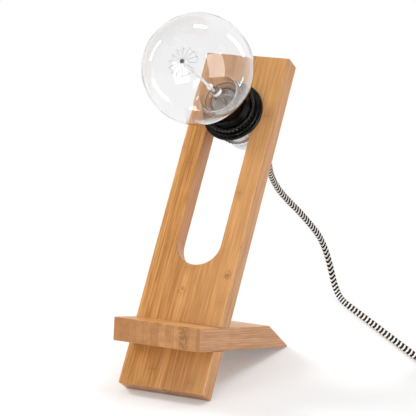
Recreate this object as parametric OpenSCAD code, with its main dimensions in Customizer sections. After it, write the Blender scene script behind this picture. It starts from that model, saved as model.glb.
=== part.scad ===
// Bare bulb table lamp: a leaning slotted bamboo board crossed by a sloping foot board,
// a screw lampholder clamped in the slot, a clear globe bulb and a corded switch and plug.
// Millimetres. +Z is up, the bulb faces -Y, and X runs across the boards.

/* [Boards] */
// Width of the upright board
upright_w = 80; // [66:1:110]
// Thickness of the upright board
upright_t = 18; // [14:0.5:22]
// Length of the upright board
upright_l = 310; // [290:1:360]
// Lean of the upright board, from vertical
lean = 35; // [25:1:42]
// Width of the foot board
foot_w = 80; // [66:1:110]
// Thickness of the foot board
foot_t = 20; // [14:0.5:26]
// Length of the foot board's underside
foot_l = 192; // [180:1:215]
// Slope of the foot board, from horizontal
foot_slope = 15; // [10:1:20]
// Distance on the table from the upright's seat to the foot's tip
foot_reach = 162; // [155:1:172]
// How far the foot's top front edge stands ahead of a square cut
foot_nose = 2.8; // [0:0.1:5]
// Length of the bevel on the foot's rear end
foot_bevel = 44; // [35:1:55]
// Height of the blunt tip of the foot
foot_tip = 2.2; // [1.5:0.1:4]
// Radius of the boards' eased long edges
edge_r = 1.8; // [0.5:0.1:3]
// Length planed off the corner where the upright meets the table
upright_seat = 1; // [0.5:0.1:2]
// Play on each face of the notches where the boards cross
notch_play = 0.1; // [0.05:0.05:0.2]

/* [Slot] */
// Distance from the upright's top end to the lampholder's axis
socket_drop = 55.5; // [50:0.5:65]
// How far the lampholder slides down the slot
slide_travel = 122; // [90:1:130]
// Play between the sleeve's thread and each side of the slot
slot_play = 0.5; // [0.3:0.1:1]
// Play between the clamping rings and the board
clamp_play = 0.3; // [0.2:0.05:0.4]

/* [Lampholder] */
// Diameter of the sleeve's thread
sleeve_d = 40; // [39:0.1:41]
// Wall of the sleeve
sleeve_wall = 3; // [2:0.1:3.4]
// How far the sleeve's mouth stands in front of the board
mouth_h = 21; // [13.5:0.5:24]
// Length of sleeve behind the rear ring
sleeve_tail = 7.2; // [4:0.1:10]
// Depth of the sleeve's thread
thread_depth = 0.6; // [0.3:0.1:0.8]
// Pitch of the sleeve's thread
thread_pitch = 2; // [1.5:0.1:3]
// Thickness of the front ring's flange
ring_flange_t = 2.5; // [2:0.1:4]
// Width of the front ring's flange around its collar
ring_flange_w = 4; // [2:0.5:7]
// Wall of the front ring's fluted collar
collar_wall = 3.2; // [2.2:0.1:5]
// Height of the front ring
ring_h = 12; // [8:0.5:13]
// Radial play between each clamping ring and the sleeve
ring_play = 0.3; // [0.2:0.05:0.4]
// Number of flutes around each ring
flutes = 40; // [24:1:48]
// Wall of the rear ring
rear_ring_wall = 2.2; // [1.8:0.1:6.5]
// Height of the rear ring
rear_ring_h = 2.5; // [2:0.5:6]
// Diameter of the dome cover
dome_d = 39; // [38:0.1:40]
// Length of the dome cover, without its spigot
dome_l = 22; // [20:0.5:30]
// Wall of the dome cover
dome_wall = 1.2; // [1:0.1:1.6]
// Thickness of the ceramic block
block_t = 15; // [13:0.5:17]
// Length of the brass screw shell
shell_l = 17; // [14:0.5:18]
// Distance between the terminal screws
terminal_gap = 20; // [18:0.5:22]
// Diameter of the cable nipple's thread
nipple_d = 10; // [9.5:0.1:10.5]
// Length of the tapered cord grip
grip_l = 26; // [22:0.5:40]

/* [Bulb] */
// Diameter of the glass globe
globe_d = 95; // [80:1:96]
// Distance that the bulb's tip sits behind the board's front face
tip_back = 4; // [2:0.5:6]
// Diameter of the bulb's neck
neck_d = 34; // [32:0.5:36]
// Length of the bulb's neck, from the cap's rim to the sweep
neck_l = 14.5; // [12:0.5:24]
// Radius of the sweep from the neck into the globe
neck_sweep = 12; // [8:0.5:16]
// Thickness of the glass
glass_wall = 0.8; // [0.5:0.1:1.2]
// Diameter over the cap's thread
cap_d = 26.4; // [26:0.1:26.5]
// Height of the cap, from its tip to its rim
cap_l = 26; // [25:0.5:27]
// Pitch of the cap's thread
cap_pitch = 3.6; // [3.4:0.1:3.8]
// Clearance between the bulb and the lampholder
bulb_play = 0.3; // [0.2:0.05:0.5]
// Lean of the glass rod inside the globe
rod_lean = 4.3; // [0:0.1:5]
// Distance from the globe's centre to the filament star, towards the crown
star_ahead = 23.5; // [16:0.5:26]
// Length of each filament support wire
spoke_l = 13.5; // [10:0.5:16]
// Number of filament support wires
spokes = 14; // [10:1:16]

/* [Cord] */
// Diameter of the textile cord
cord_d = 6; // [5:0.1:6.4]
// Turns in each layer of the coil
coil_turns = 2.5; // [2.5:1:3.5]
// Sideways distance from one turn of the coil to the next
coil_step = 6.8; // [6.8:0.1:8]
// Height from one layer of the coil to the next
coil_rise = 6.6; // [6.6:0.1:8]
// Radius of the coil's innermost turn
coil_in_r = 24; // [24:1:30]
// Width of the strap around the coil
tie_w = 9; // [6:0.5:14]
// Thickness of the strap around the coil
tie_t = 0.8; // [0.6:0.1:1]

/* [Switch] */
// Length of the cord switch
switch_l = 60; // [54:1:70]
// Width of the cord switch
switch_w = 24; // [22:0.5:28]
// Height of the cord switch
switch_h = 17; // [16:0.5:20]
// Wall of the cord switch
switch_wall = 1.8; // [1.4:0.1:2.2]
// Length of the rocker
rocker_l = 20; // [18:0.5:22]
// Width of the rocker
rocker_w = 10; // [9:0.5:11]
// Swing of the rocker between off and on
rocker_swing = 14; // [10:1:16]

/* [Plug] */
// Width of the plug's body
plug_w = 35.4; // [34:0.1:37]
// Thickness of the plug's body
plug_t = 13.8; // [13:0.1:15]
// Length of the plug's body
plug_l = 33; // [30:0.5:38]
// Length of the plug's cord sleeve
plug_sleeve_l = 22; // [20:0.5:30]
// Distance between the plug's pins
pin_gap = 19; // [18.6:0.1:19.4]
// Diameter of the plug's pins
pin_d = 4; // [3.9:0.05:4.1]
// Length of the plug's pins
pin_l = 19; // [18:0.5:20]

/* [Hidden] */
$fn = 72;

// Where the boards stand: the flat planed on the upright is centred on the origin
seat_y = upright_seat / (2 * sin(lean));
socket_v = upright_l - socket_drop;
slot_w = sleeve_d + 2 * slot_play;
slot_low_v = socket_v - slide_travel - slot_play;
slot_high_v = socket_v + slot_play;
// The foot's frame starts at the front of the flat under its tip
tip_run = 2;
foot_y = seat_y + foot_reach - tip_run;

// Lampholder levels, measured along the bulb's axis from the board's front face
sleeve_r = sleeve_d / 2;
bore_r = sleeve_r - sleeve_wall;
ring_back_h = clamp_play;
flute_r = 0.9;
flute_out = 0.35;
rear_ring_top = -upright_t - clamp_play;
rear_ring_end = rear_ring_top - rear_ring_h;
sleeve_end = rear_ring_end - sleeve_tail;
contact_h = -tip_back;
block_top = contact_h - 2;
block_end = block_top - block_t;
shoulder_t = 3;
shoulder_r = bore_r - 1.8;
fit_gap = 0.1;
block_r = bore_r - fit_gap;
spigot_l = 3.5;
dome_end = sleeve_end - dome_l;
nipple_r = nipple_d / 2;
boss_r = nipple_r + 3;
nipple_front = dome_end + 6;
nipple_end = dome_end - 12;
grip_end = dome_end - grip_l;
terminal_r = 3.2;
terminal_end = block_end - 2;
wire_r = 0.9;

// Bulb levels along the same axis
globe_r = globe_d / 2;
neck_r = neck_d / 2;
cap_r = cap_d / 2;
cap_rim_h = contact_h + cap_l;
cap_wall = 0.35;
cap_skirt = 5;
cap_wave = 1.1;
tip_t = 1.4;
insulator_r = 9.2;
insulator_top = contact_h + 5.5;
// The glass neck and the stem's flare reach down inside the cap
seal_r = cap_r - cap_wall - fit_gap;
seal_l = 4;
stem_r = seal_r - glass_wall - fit_gap;
// The sweep's circle touches the neck and the globe from outside
sweep_x = neck_r + neck_sweep;
sweep_h = cap_rim_h + neck_l;
globe_h = sweep_h + sqrt((globe_r + neck_sweep) ^ 2 - sweep_x ^ 2);
star_h = globe_h + star_ahead;
pinch_h = cap_rim_h + 24;
spoke_r = 0.3;
rod_r = 1.5;
lean_h = cap_rim_h + 10;

// The brass shell in the holder clears the crests of the cap's thread
shell_in_r = cap_r + bulb_play;
shell_wall = 0.4;

cord_r = cord_d / 2;
// Route of the cord from the lampholder to the switch, and from the switch to the coil
lead_route = [[-2, 213, 161], [-5, 223, 151], [-8, 233, 141], [-9, 245, 130],
              [-9, 256, 120], [-7, 268, 110], [-5, 279, 101], [-2, 290, 92], [0, 300, 83],
              [3, 310, 73], [5, 320, 64], [7, 327, 54], [9, 332, 44], [11, 334, 34],
              [14, 334, 25], [17, 331, 16], [22, 326, 9], [29, 318, 4], [43, 301, 3],
              [57, 286, 3], [70, 272, 3], [84, 257, 3], [97, 243, 3], [109, 230, 3],
              [122, 216, 3], [134, 203, 3], [146, 190, 3], [158, 177, 3], [166, 169, 4],
              [172, 163, 6]];
switch_at = [200, 135, 0];
cord_port = 7;
coil_at = [276, 119, 0];
tie_play = 0.7;
coil_lift = tie_t + 0.1 + cord_r;
loop_rings = 24;
// The spiral turns back from inwards to outwards in the middle of its climb
coil_back = coil_turns + 0.25;
coil_out_r = coil_in_r + coil_back * coil_step;

switch_split = 8;
plug_neck = 16;
plug_neck_l = 14;
screw_at = [switch_l / 2 - 9, switch_w / 2 - 4.2];

// ---------- helpers ----------

// Local x across the board, y up the board, z out of its front; z = 0 is the rear face
module on_upright() translate([0, seat_y, 0]) rotate([90 - lean, 0, 0]) children();

// Local z is the bulb's axis, with z = 0 on the board's front face
module on_axis() on_upright() translate([0, socket_v, upright_t]) children();

// Local y runs back and down the foot, z is square to its top
module on_foot() translate([0, foot_y, 0]) rotate([-foot_slope, 0, 0]) children();

// Local x runs along the switch, away from the lamp
module on_switch() translate(switch_at) rotate(-45) children();

function along_axis(h) = [0, seat_y + socket_v * sin(lean) - (upright_t + h) * cos(lean),
                          socket_v * cos(lean) + (upright_t + h) * sin(lean)];

module turned(points) rotate_extrude() polygon(points);

module pipe(r, hole_r, low, high)
    turned([[hole_r, low], [r, low], [r, high], [hole_r, high]]);

module rod(a, b, r) {
    d = b - a;
    translate(a) rotate([0, acos(d.z / norm(d)), atan2(d.y, d.x)]) cylinder(r = r, h = norm(d));
}

// A bent wire: straight runs with a ball at each bend
module wire(points, r) {
    for (i = [1 : len(points) - 1]) rod(points[i - 1], points[i], r);
    for (i = [1 : 1 : len(points) - 2]) translate(points[i]) sphere(r);
}

// Rectangle with round corners, from its lower edge at y = 0
module eased(w, t, r) {
    translate([-w / 2 + r, 0]) square([w - 2 * r, t]);
    translate([-w / 2, r]) square([w, t - 2 * r]);
    for (x = [-w / 2 + r, w / 2 - r], y = [r, t - r]) translate([x, y]) circle(r);
}

// Points of a wavy thread profile from low to high, between radius r - deep and r
function wave(r, deep, pitch, low, high, steps = 8) =
    let (n = round((high - low) / pitch) * steps)
    [for (i = [0 : n])
        [r - deep / 2 + deep / 2 * cos(360 * i / steps + 180), low + (high - low) * i / n]];

// Points of an arc about a centre, from angle a to angle b
function arc(centre, r, a, b, n) =
    [for (i = [0 : n]) let (t = a + (b - a) * i / n) centre + r * [cos(t), sin(t)]];

function unit(v) = v / norm(v);

// A tube of the given radius swept along points, with its ends cut square to its run
module tube(points, r, sides, first, last) {
    n = len(points);
    dirs = [for (i = [0 : n - 1])
        i == 0 ? unit(first) : i == n - 1 ? unit(last)
        : unit(unit(points[i] - points[i - 1]) + unit(points[i + 1] - points[i]))];
    corners = [for (i = [0 : n - 1])
        let (side = unit(cross(dirs[i], upright_axis(dirs[i]))), top = cross(side, dirs[i]))
        for (k = [0 : sides - 1])
            points[i] + r * (cos(360 * (k + 0.5) / sides) * side
                             + sin(360 * (k + 0.5) / sides) * top)];
    walls = [for (i = [0 : n - 2], k = [0 : sides - 1])
        let (a = i * sides + k, b = i * sides + (k + 1) % sides)
        for (face = [[a, b, b + sides], [a, b + sides, a + sides]]) face];
    ends = [for (k = [1 : sides - 2]) for (face = [[0, k + 1, k],
        [(n - 1) * sides, (n - 1) * sides + k, (n - 1) * sides + k + 1]]) face];
    polyhedron(points = corners, faces = concat(walls, ends));
}

// A fixed direction that the tube's rings are turned about
function upright_axis(d) = [0, 0, 1];

// ---------- boards ----------

module upright_board() color("burlywood")
    difference() {
        on_upright() difference() {
            translate([0, upright_l, 0]) rotate([90, 0, 0])
                linear_extrude(upright_l + upright_seat) eased(upright_w, upright_t, edge_r);
            for (v = [slot_low_v, slot_high_v])
                translate([0, v, -1]) cylinder(d = slot_w, h = upright_t + 2);
            translate([-slot_w / 2, slot_low_v, -1])
                cube([slot_w, slot_high_v - slot_low_v, upright_t + 2]);
        }
        // notch for the foot, open on the right
        on_foot() translate([0, -foot_l - 20, -notch_play])
            cube([upright_w, foot_l + 20, foot_t + 2 * notch_play]);
        below_table();
    }

module foot_board() color("tan")
    difference() {
        on_foot() intersection() {
            translate([0, foot_t, 0]) rotate([90, 0, 0])
                linear_extrude(foot_l + 2 * foot_t) eased(foot_w, foot_t, edge_r);
            rotate([90, 0, 90]) linear_extrude(foot_w + 2, center = true)
                polygon([[tip_run - foot_l, 0], [tip_run - foot_l - foot_nose, foot_t],
                         [-foot_bevel, foot_t], [tip_run, foot_tip], [tip_run, -1],
                         [0, -1], [0, 0]]);
        }
        // notch for the upright, open on the left
        on_upright() translate([-foot_w, -upright_l / 2, -notch_play])
            cube([foot_w, 1.5 * upright_l, upright_t + 2 * notch_play]);
        below_table();
    }

module below_table() translate([-200, -200, -50]) cube([400, 600, 50]);

// ---------- lampholder ----------

module holder_sleeve() color("dimgray") on_axis()
    turned(concat(
        [[bore_r, sleeve_end], [sleeve_r - thread_depth, sleeve_end]],
        thread_teeth(),
        [[sleeve_r - thread_depth, mouth_h], [bore_r, mouth_h],
         [bore_r, block_top + shoulder_t], [shoulder_r, block_top + shoulder_t],
         [shoulder_r, block_top], [bore_r, block_top]]));

function thread_teeth() =
    let (n = floor((mouth_h - sleeve_end - 1) / thread_pitch), low = sleeve_end + 0.5)
    [for (i = [0 : n - 1], p = [[0.1, 0], [0.35, 1], [0.65, 1], [0.9, 0]])
        [sleeve_r - thread_depth * (1 - p.y), low + (i + p.x) * thread_pitch]];

module flute_cuts(r, low, high)
    for (i = [0 : flutes - 1])
        rotate(360 * i / flutes) translate([r + flute_out, 0, low])
            cylinder(r = flute_r, h = high - low, $fn = 24);

module shade_ring() color("#202022") on_axis() {
    low = ring_back_h;
    hole = sleeve_r + ring_play;
    collar_r = hole + collar_wall;
    ring_r = collar_r + ring_flange_w;
    difference() {
        turned([[hole, low], [ring_r - 0.6, low], [ring_r, low + 0.6],
                [ring_r, low + ring_flange_t - 0.8], [ring_r - 0.8, low + ring_flange_t],
                [collar_r, low + ring_flange_t], [collar_r, low + ring_h - 1],
                [collar_r - 1, low + ring_h], [hole, low + ring_h]]);
        flute_cuts(collar_r, low + ring_flange_t + 1, low + ring_h + 1);
    }
}

module rear_ring() color("silver") on_axis() {
    hole = sleeve_r + ring_play;
    r = hole + rear_ring_wall;
    difference() {
        turned([[hole, rear_ring_end], [r - 0.8, rear_ring_end],
                [r, rear_ring_end + 0.8], [r, rear_ring_top - 0.4], [r - 0.4, rear_ring_top],
                [hole, rear_ring_top]]);
        flute_cuts(r, rear_ring_end - 1, rear_ring_top + 1);
    }
}

module terminal_block() color("white") on_axis()
    difference() {
        translate([0, 0, block_end]) cylinder(r = block_r, h = block_t);
        translate([0, 0, block_top - 2]) cylinder(r = 9, h = 3);
        for (s = [-1, 1]) translate([s * terminal_gap / 2, 0, block_end - 1])
            cylinder(d = 3.6, h = 12);
    }

module screw_shell() color("goldenrod") on_axis()
    turned(concat(
        [[9.2, block_top], [shell_in_r + cap_wave + shell_wall, block_top]],
        shell_wave(shell_wall),
        [for (i = [len(shell_wave(0)) - 1 : -1 : 0]) shell_wave(0)[i]],
        [[shell_in_r + cap_wave, block_top + shell_wall], [9.2, block_top + shell_wall]]));

function shell_wave(grow) =
    wave(shell_in_r + cap_wave + grow, cap_wave, cap_pitch, block_top + 1, block_top + shell_l);

module centre_contact() color("gold") on_axis() {
    base = block_top - 2;
    tongue = contact_h - bulb_play;
    rotate([90, 0, 0]) linear_extrude(5, center = true)
        polygon([[-7, base], [5.4, base], [5.4, tongue - 0.9], [-1, tongue], [-4.5, tongue - 0.3],
                 [-4.5, tongue - 0.7], [-1, tongue - 0.4], [5, tongue - 1.3], [5, base + 0.4],
                 [-7, base + 0.4]]);
}

module terminal_screws() color("gold") on_axis()
    for (s = [-1, 1]) translate([s * terminal_gap / 2, 0, 0]) difference() {
        union() {
            translate([0, 0, terminal_end]) cylinder(r = terminal_r, h = block_end - terminal_end);
            translate([0, 0, block_end]) cylinder(d = 3.4, h = 9);
        }
        translate([-4, -0.35, terminal_end - 0.1]) cube([8, 0.7, 1]);
    }

// Outline of the dome cover, shrunk by a wall
function dome_curve(wall) =
    let (flat = sleeve_end - 7, run = flat - dome_end - wall, rise = dome_d / 2 - boss_r)
    [for (i = [0 : 12]) let (t = 90 * i / 12)
        [boss_r - wall * sin(90 - t) + rise * cos(t), flat - run * sin(t)]];

module dome_cover() color("silver") on_axis() {
    inside = dome_curve(dome_wall);
    turned(concat(
        [[block_r - dome_wall, sleeve_end + spigot_l], [block_r - dome_wall, sleeve_end - 1.5],
         [dome_d / 2 - dome_wall, sleeve_end - 3]],
        inside,
        [[nipple_r + fit_gap, dome_end + dome_wall], [nipple_r + fit_gap, dome_end]],
        [for (i = [12 : -1 : 0]) dome_curve(0)[i]],
        [[dome_d / 2, sleeve_end], [block_r, sleeve_end], [block_r, sleeve_end + spigot_l]]));
}

module cable_nipple() color("gold") on_axis()
    pipe(nipple_r, cord_r + 0.6, nipple_end, nipple_front);

module nipple_nut() color("gold") on_axis() difference() {
    translate([0, 0, dome_end + dome_wall]) cylinder(r = nipple_r + 2.4, h = 2.5, $fn = 6);
    translate([0, 0, dome_end]) cylinder(r = nipple_r + fit_gap, h = 6);
}

module cord_grip() color("#18181a") on_axis()
    turned([[nipple_r + fit_gap, dome_end - fit_gap], [boss_r - 0.4, dome_end - fit_gap],
            [boss_r, dome_end - 0.6], [boss_r, dome_end - 8], [boss_r - 0.8, dome_end - 9],
            [cord_r + 1.3, grip_end + 0.6], [cord_r + 0.8, grip_end], [cord_r + fit_gap, grip_end],
            [cord_r + fit_gap, nipple_end - fit_gap], [nipple_r + fit_gap, nipple_end - fit_gap]]);

module cord_entry() color("#303030") on_axis()
    translate([0, 0, grip_end]) cylinder(r = cord_r, h = nipple_front - 2 - grip_end);

module holder_wires() color("sienna") on_axis()
    for (s = [-1, 1]) wire([[s * 1.2, 0, nipple_front - 2], [s * 1.2, 0, nipple_front + 2],
        [s * 5, 0, terminal_end - 4], [s * terminal_gap / 2, 0, terminal_end - wire_r]],
        wire_r, $fn = 12);

// ---------- bulb ----------

module bulb_tip() color("silver") on_axis()
    turned([[0, contact_h], [2.6, contact_h], [3.8, contact_h + 0.7], [3.8, contact_h + tip_t],
            [0, contact_h + tip_t]]);

module cap_insulator() color("#101014") on_axis() {
    low = contact_h + tip_t + bulb_play;
    turned([[0, low], [4.2, low], [insulator_r, low + 2.6], [insulator_r, insulator_top],
            [0, insulator_top]]);
}

module bulb_cap() color("goldenrod") on_axis() {
    low = insulator_top - 1.3;
    top = cap_rim_h - cap_skirt;
    outer = concat([[insulator_r + 0.2, low], [cap_r - cap_wave, low + 1.2]],
        wave(cap_r, cap_wave, cap_pitch, low + 2, top),
        [[cap_r, top + 0.8], [cap_r, cap_rim_h]]);
    turned(concat(outer,
        [for (i = [len(outer) - 1 : -1 : 0]) outer[i] - [cap_wall, 0]]));
}

// Outline of the glass, from the rim of the cap to the crown, shrunk by a wall
function glass_curve(wall) =
    let (turn = atan2(globe_h - sweep_h, sweep_x))
    concat([[seal_r - wall, cap_rim_h - seal_l], [seal_r - wall, cap_rim_h + 0.3]],
        arc([neck_r - 8, cap_rim_h + 8], 8 - wall, -35, 0, 5),
        arc([sweep_x, sweep_h], neck_sweep + wall, 180, 180 - turn, 8),
        arc([0, globe_h], globe_r - wall, -turn + 3, 90, 32));

module bulb_glass() color("lightblue", 0.4) on_axis() {
    outer = glass_curve(0);
    inner = glass_curve(glass_wall);
    difference() {
        turned(concat([[0, cap_rim_h - seal_l]], [for (p = outer) [max(p.x, 0), p.y]]));
        turned(concat([[0, cap_rim_h - seal_l - 1], [inner[0].x, cap_rim_h - seal_l - 1]],
                      [for (p = inner) [max(p.x, 0), p.y]]));
    }
}

module lean_rod() translate([0, 0, lean_h]) rotate(a = rod_lean, v = [1, -1, 0])
    translate([0, 0, -lean_h]) children();

module bulb_stem() color("lightblue", 0.5) on_axis() {
    difference() {
        turned([[0, cap_rim_h - seal_l], [stem_r, cap_rim_h - seal_l], [stem_r, cap_rim_h + 1],
                [10, cap_rim_h + 4.5], [7, cap_rim_h + 9.5], [5, cap_rim_h + 14],
                [4.2, pinch_h - 4], [4.2, pinch_h], [2, pinch_h + 3], [0, pinch_h + 3]]);
        turned([[0, cap_rim_h - seal_l - 1], [stem_r - 1, cap_rim_h - seal_l - 1],
                [stem_r - 1, cap_rim_h + 1], [9, cap_rim_h + 4.5], [6, cap_rim_h + 9.5],
                [4, cap_rim_h + 14], [3.2, pinch_h - 6], [0, pinch_h - 6]]);
    }
    lean_rod() translate([0, 0, pinch_h]) cylinder(r = rod_r, h = star_h - pinch_h - 2);
}

module filament_supports() color("gray") on_axis() lean_rod() translate([0, 0, star_h]) {
    translate([0, 0, -2]) cylinder(r = 2.4, h = 4);
    for (i = [0 : spokes - 1]) rotate(360 * i / spokes) rod([1.5, 0, 0], [spoke_l, 0, -2], spoke_r);
}

// The filament zigzags from tip to tip, with its low points between the supports
function filament_point(i) =
    let (t = 180 * (i + 1) / spokes, r = spoke_l + (i % 2 == 0 ? -2 : 0.5))
    [r * cos(t), r * sin(t), i % 2 == 0 ? -3 : 0];

module filament() color("dimgray") on_axis() lean_rod() translate([0, 0, star_h - 2]) {
    wire([for (i = [0 : 2 * spokes - 3]) filament_point(i)], 0.25, $fn = 8);
}

module lead_wires() color("silver") on_axis() {
    for (s = [-1, 1]) rod([s * 2, 0, insulator_top + 0.1], [s * 2, 0, pinch_h - 6.2], 0.3);
    lean_rod() for (s = [-1, 1])
        rod([4.4, s * 1.2, pinch_h + 1.5],
            [0, 0, star_h - 2.8] + filament_point(s > 0 ? 0 : 2 * spokes - 3), 0.3);
}

// ---------- cord ----------

function direction(h0, h1) = unit(along_axis(h1) - along_axis(h0));

module cord_lead() color("#303030") {
    start = along_axis(grip_end - clamp_play);
    out = direction(grip_end, grip_end - 10);
    tube(concat([start, start + out * cord_d], lead_route, [switch_port(-1) - [6, -6, 0], switch_port(-1)]),
         cord_r, 8, out, [1, -1, 0]);
}

// Where the cord meets the switch, at its near or far end
function switch_port(s) = switch_at + s * (switch_l / 2) * [cos(45), -sin(45), 0] + [0, 0, cord_port];

// A point on the coil after so many turns: in along the lower layer, a half turn up, and out
function coil_point(t) =
    let (climb = min(max((t - coil_turns) * 2, 0), 1), r = coil_in_r + coil_step * abs(t - coil_back),
         a = 225 + 360 * t)
    coil_at + [r * cos(a), r * sin(a), coil_lift + coil_rise * (1 - cos(180 * climb)) / 2];

coil_leave = [cos(135), sin(135), 0];
coil_span = 2 * coil_turns + 0.5;
coil_path = [for (i = [0 : coil_span * loop_rings]) coil_point(i / loop_rings)];
coil_start = coil_point(0) - cord_d * [cos(45), -sin(45), 0];
coil_stop = coil_point(coil_span) + cord_d * coil_leave;

module cord_mid() color("#303030") {
    ahead = [cos(45), -sin(45), 0];
    a = switch_port(1);
    run = coil_start - a;
    tube([a, a + 6 * ahead, a + run / 2 + [0, 0, 1], coil_start - 6 * ahead, coil_start],
         cord_r, 8, ahead, ahead);
}

module cord_coil() color("#303030") tube(coil_run, cord_r, 6, [1, -1, 0], coil_leave);

// Least distance between turns, past the tube's own diameter
coil_run = concat([coil_start], coil_path, [coil_stop]);
coil_gap = min([for (i = [0 : len(coil_run) - 1], j = [i + 8 : 1 : len(coil_run) - 1])
    norm(coil_run[i] - coil_run[j])]) - cord_d;
echo(coil_gap = coil_gap);

// Where the plug's cord sleeve starts, beyond the coil
plug_at = coil_stop + 22 * coil_leave - [0, 0, coil_stop.z - plug_t / 2];

module cord_end() color("#303030")
    tube([coil_stop, coil_stop + 6 * coil_leave, (coil_stop + plug_at) / 2,
          plug_at - 5 * coil_leave, plug_at], cord_r, 8, coil_leave, coil_leave);

module coil_tie() color("dimgray") {
    // The strap crosses the coil an eighth of a turn before its end
    near = coil_in_r + coil_step * (coil_back - coil_turns + 0.125) - cord_r - tie_play;
    far = coil_out_r - coil_step * 0.125 + cord_r + tie_play;
    wide = far - near;
    high = coil_rise + 2 * cord_r + 0.3;
    translate(coil_at + [(near + far) / 2, 0, 0]) rotate([90, 0, 0])
        linear_extrude(tie_w, center = true) difference() {
            eased(wide + 2 * tie_t, high + 2 * tie_t, 3);
            translate([0, tie_t]) eased(wide, high, 2.4);
        }
}

// ---------- switch ----------

module switch_outline(grow) {
    round_r = 7;
    square([switch_l - 2 * round_r + 2 * grow, switch_w + 2 * grow], center = true);
    square([switch_l + 2 * grow, switch_w - 2 * round_r + 2 * grow], center = true);
    for (x = [-1, 1], y = [-1, 1])
        translate([x * (switch_l / 2 - round_r), y * (switch_w / 2 - round_r)]) circle(round_r + grow);
}

module screw_places() for (s = [-1, 1]) translate([s * screw_at.x, s * screw_at.y, 0]) children();

module switch_base() color("#18181a") on_switch() difference() {
    union() {
        difference() {
            linear_extrude(switch_split) switch_outline(0);
            translate([0, 0, switch_wall]) linear_extrude(switch_split) switch_outline(-switch_wall);
        }
        screw_places() cylinder(r = 2.8, h = switch_split);
        // saddle under the rocker's pin
        for (s = [-1, 1]) translate([-2, s * (rocker_w / 2 + 1.2) - 0.8, 0])
            cube([4, 1.6, switch_split]);
    }
    screw_places() translate([0, 0, -1]) cylinder(d = 2.6, h = switch_split + 2);
    screw_places() translate([0, 0, -1]) cylinder(r = 2.4, h = 2.6);
}

module switch_cover() color("#18181a") on_switch() difference() {
    union() {
        difference() {
            translate([0, 0, switch_split]) linear_extrude(switch_h - switch_split) switch_outline(0);
            translate([0, 0, switch_split - 1])
                linear_extrude(switch_h - switch_split + 1 - switch_wall) switch_outline(-switch_wall);
        }
        screw_places() translate([0, 0, switch_split + 0.1])
            cylinder(r = 2.8, h = switch_h - switch_split - 1);
        for (s = [-1, 1]) translate([-2, s * (rocker_w / 2 + 1.2) - 0.8, switch_split + 0.1])
            cube([4, 1.6, switch_h - switch_split - 1]);
    }
    translate([-rocker_l / 2 - 0.4, -rocker_w / 2 - 0.4, 0]) cube([rocker_l + 0.8, rocker_w + 0.8, 30]);
    screw_places() translate([0, 0, 5]) cylinder(d = 2.2, h = 8);
    translate([0, 0, pin_z]) rotate([90, 0, 0]) cylinder(r = 1.05, h = switch_w - 6, center = true);
}

pin_z = switch_h - 4.2;

module switch_screws() color("silver") on_switch() screw_places() {
    difference() {
        translate([0, 0, 0.4]) cylinder(r = 2.2, h = 1.2);
        translate([-3, -0.3, 0]) cube([6, 0.6, 0.8]);
    }
    translate([0, 0, 1.6]) cylinder(d = 2.1, h = 9);
}

module switch_contacts() color("gold") on_switch() for (s = [-1, 1])
    translate([s * 14, 0, switch_wall]) {
        translate([-4, -3.5, 0]) cube([8, 7, 3]);
        translate([-s * 3 - 0.5, -2, 3]) cube([1, 4, 2]);
    }

module switch_rocker() color("#26262a") on_switch() translate([0, 0, pin_z])
    rotate([0, -rocker_swing / 2, 0]) difference() {
        rotate([90, 0, 0]) linear_extrude(rocker_w, center = true)
            polygon(concat([[-rocker_l / 2 + 0.4, 4.4], [-rocker_l / 2 + 0.8, 0.4], [-3, -3.4],
                            [3, -3.4], [rocker_l / 2 - 0.8, 0.4], [rocker_l / 2 - 0.4, 4.4]],
                           arc([0, 28], 25.4, -68, -112, 10)));
        rotate([90, 0, 0]) cylinder(r = 1.05, h = rocker_w + 2, center = true);
    }

module rocker_pin() color("silver") on_switch() translate([0, 0, pin_z])
    rotate([90, 0, 0]) cylinder(r = 1, h = rocker_w + 4.6, center = true);

// ---------- plug ----------

// Local x runs out of the plug's nose; x = 0 is where the cord enters its sleeve
module on_plug() translate(plug_at) rotate(135) children();

module plug_body() color("#18181a") on_plug() {
    nose = plug_sleeve_l + plug_l;
    rotate([0, 90, 0]) cylinder(r1 = cord_r + 0.8, r2 = cord_r + 2.2, h = plug_sleeve_l + 1);
    intersection() {
        translate([0, 0, -plug_t / 2]) rotate([90, 0, 90])
            linear_extrude(nose) eased(plug_w, plug_t, 4);
        linear_extrude(plug_t + 2, center = true) polygon([
            [plug_sleeve_l, -plug_neck / 2], [plug_sleeve_l + plug_neck_l, -plug_w / 2],
            [nose, -plug_w / 2], [nose, plug_w / 2],
            [plug_sleeve_l + plug_neck_l, plug_w / 2], [plug_sleeve_l, plug_neck / 2]]);
    }
}

module plug_pins() color("silver") on_plug() for (s = [-1, 1])
    translate([plug_sleeve_l + plug_l, s * pin_gap / 2, 0]) rotate([0, 90, 0]) {
        cylinder(d = pin_d, h = pin_l - 1);
        translate([0, 0, pin_l - 1]) cylinder(d1 = pin_d, d2 = pin_d - 1.2, h = 1);
    }

upright_board();
foot_board();
holder_sleeve();
shade_ring();
rear_ring();
terminal_block();
screw_shell();
centre_contact();
terminal_screws();
dome_cover();
cable_nipple();
nipple_nut();
cord_grip();
cord_entry();
holder_wires();
bulb_tip();
bulb_cap();
cap_insulator();
bulb_glass();
bulb_stem();
lead_wires();
filament_supports();
filament();
cord_lead();
cord_mid();
cord_coil();
cord_end();
coil_tie();
switch_base();
switch_cover();
switch_screws();
switch_contacts();
switch_rocker();
rocker_pin();
plug_body();
plug_pins();
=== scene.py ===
# %% [markdown]
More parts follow.
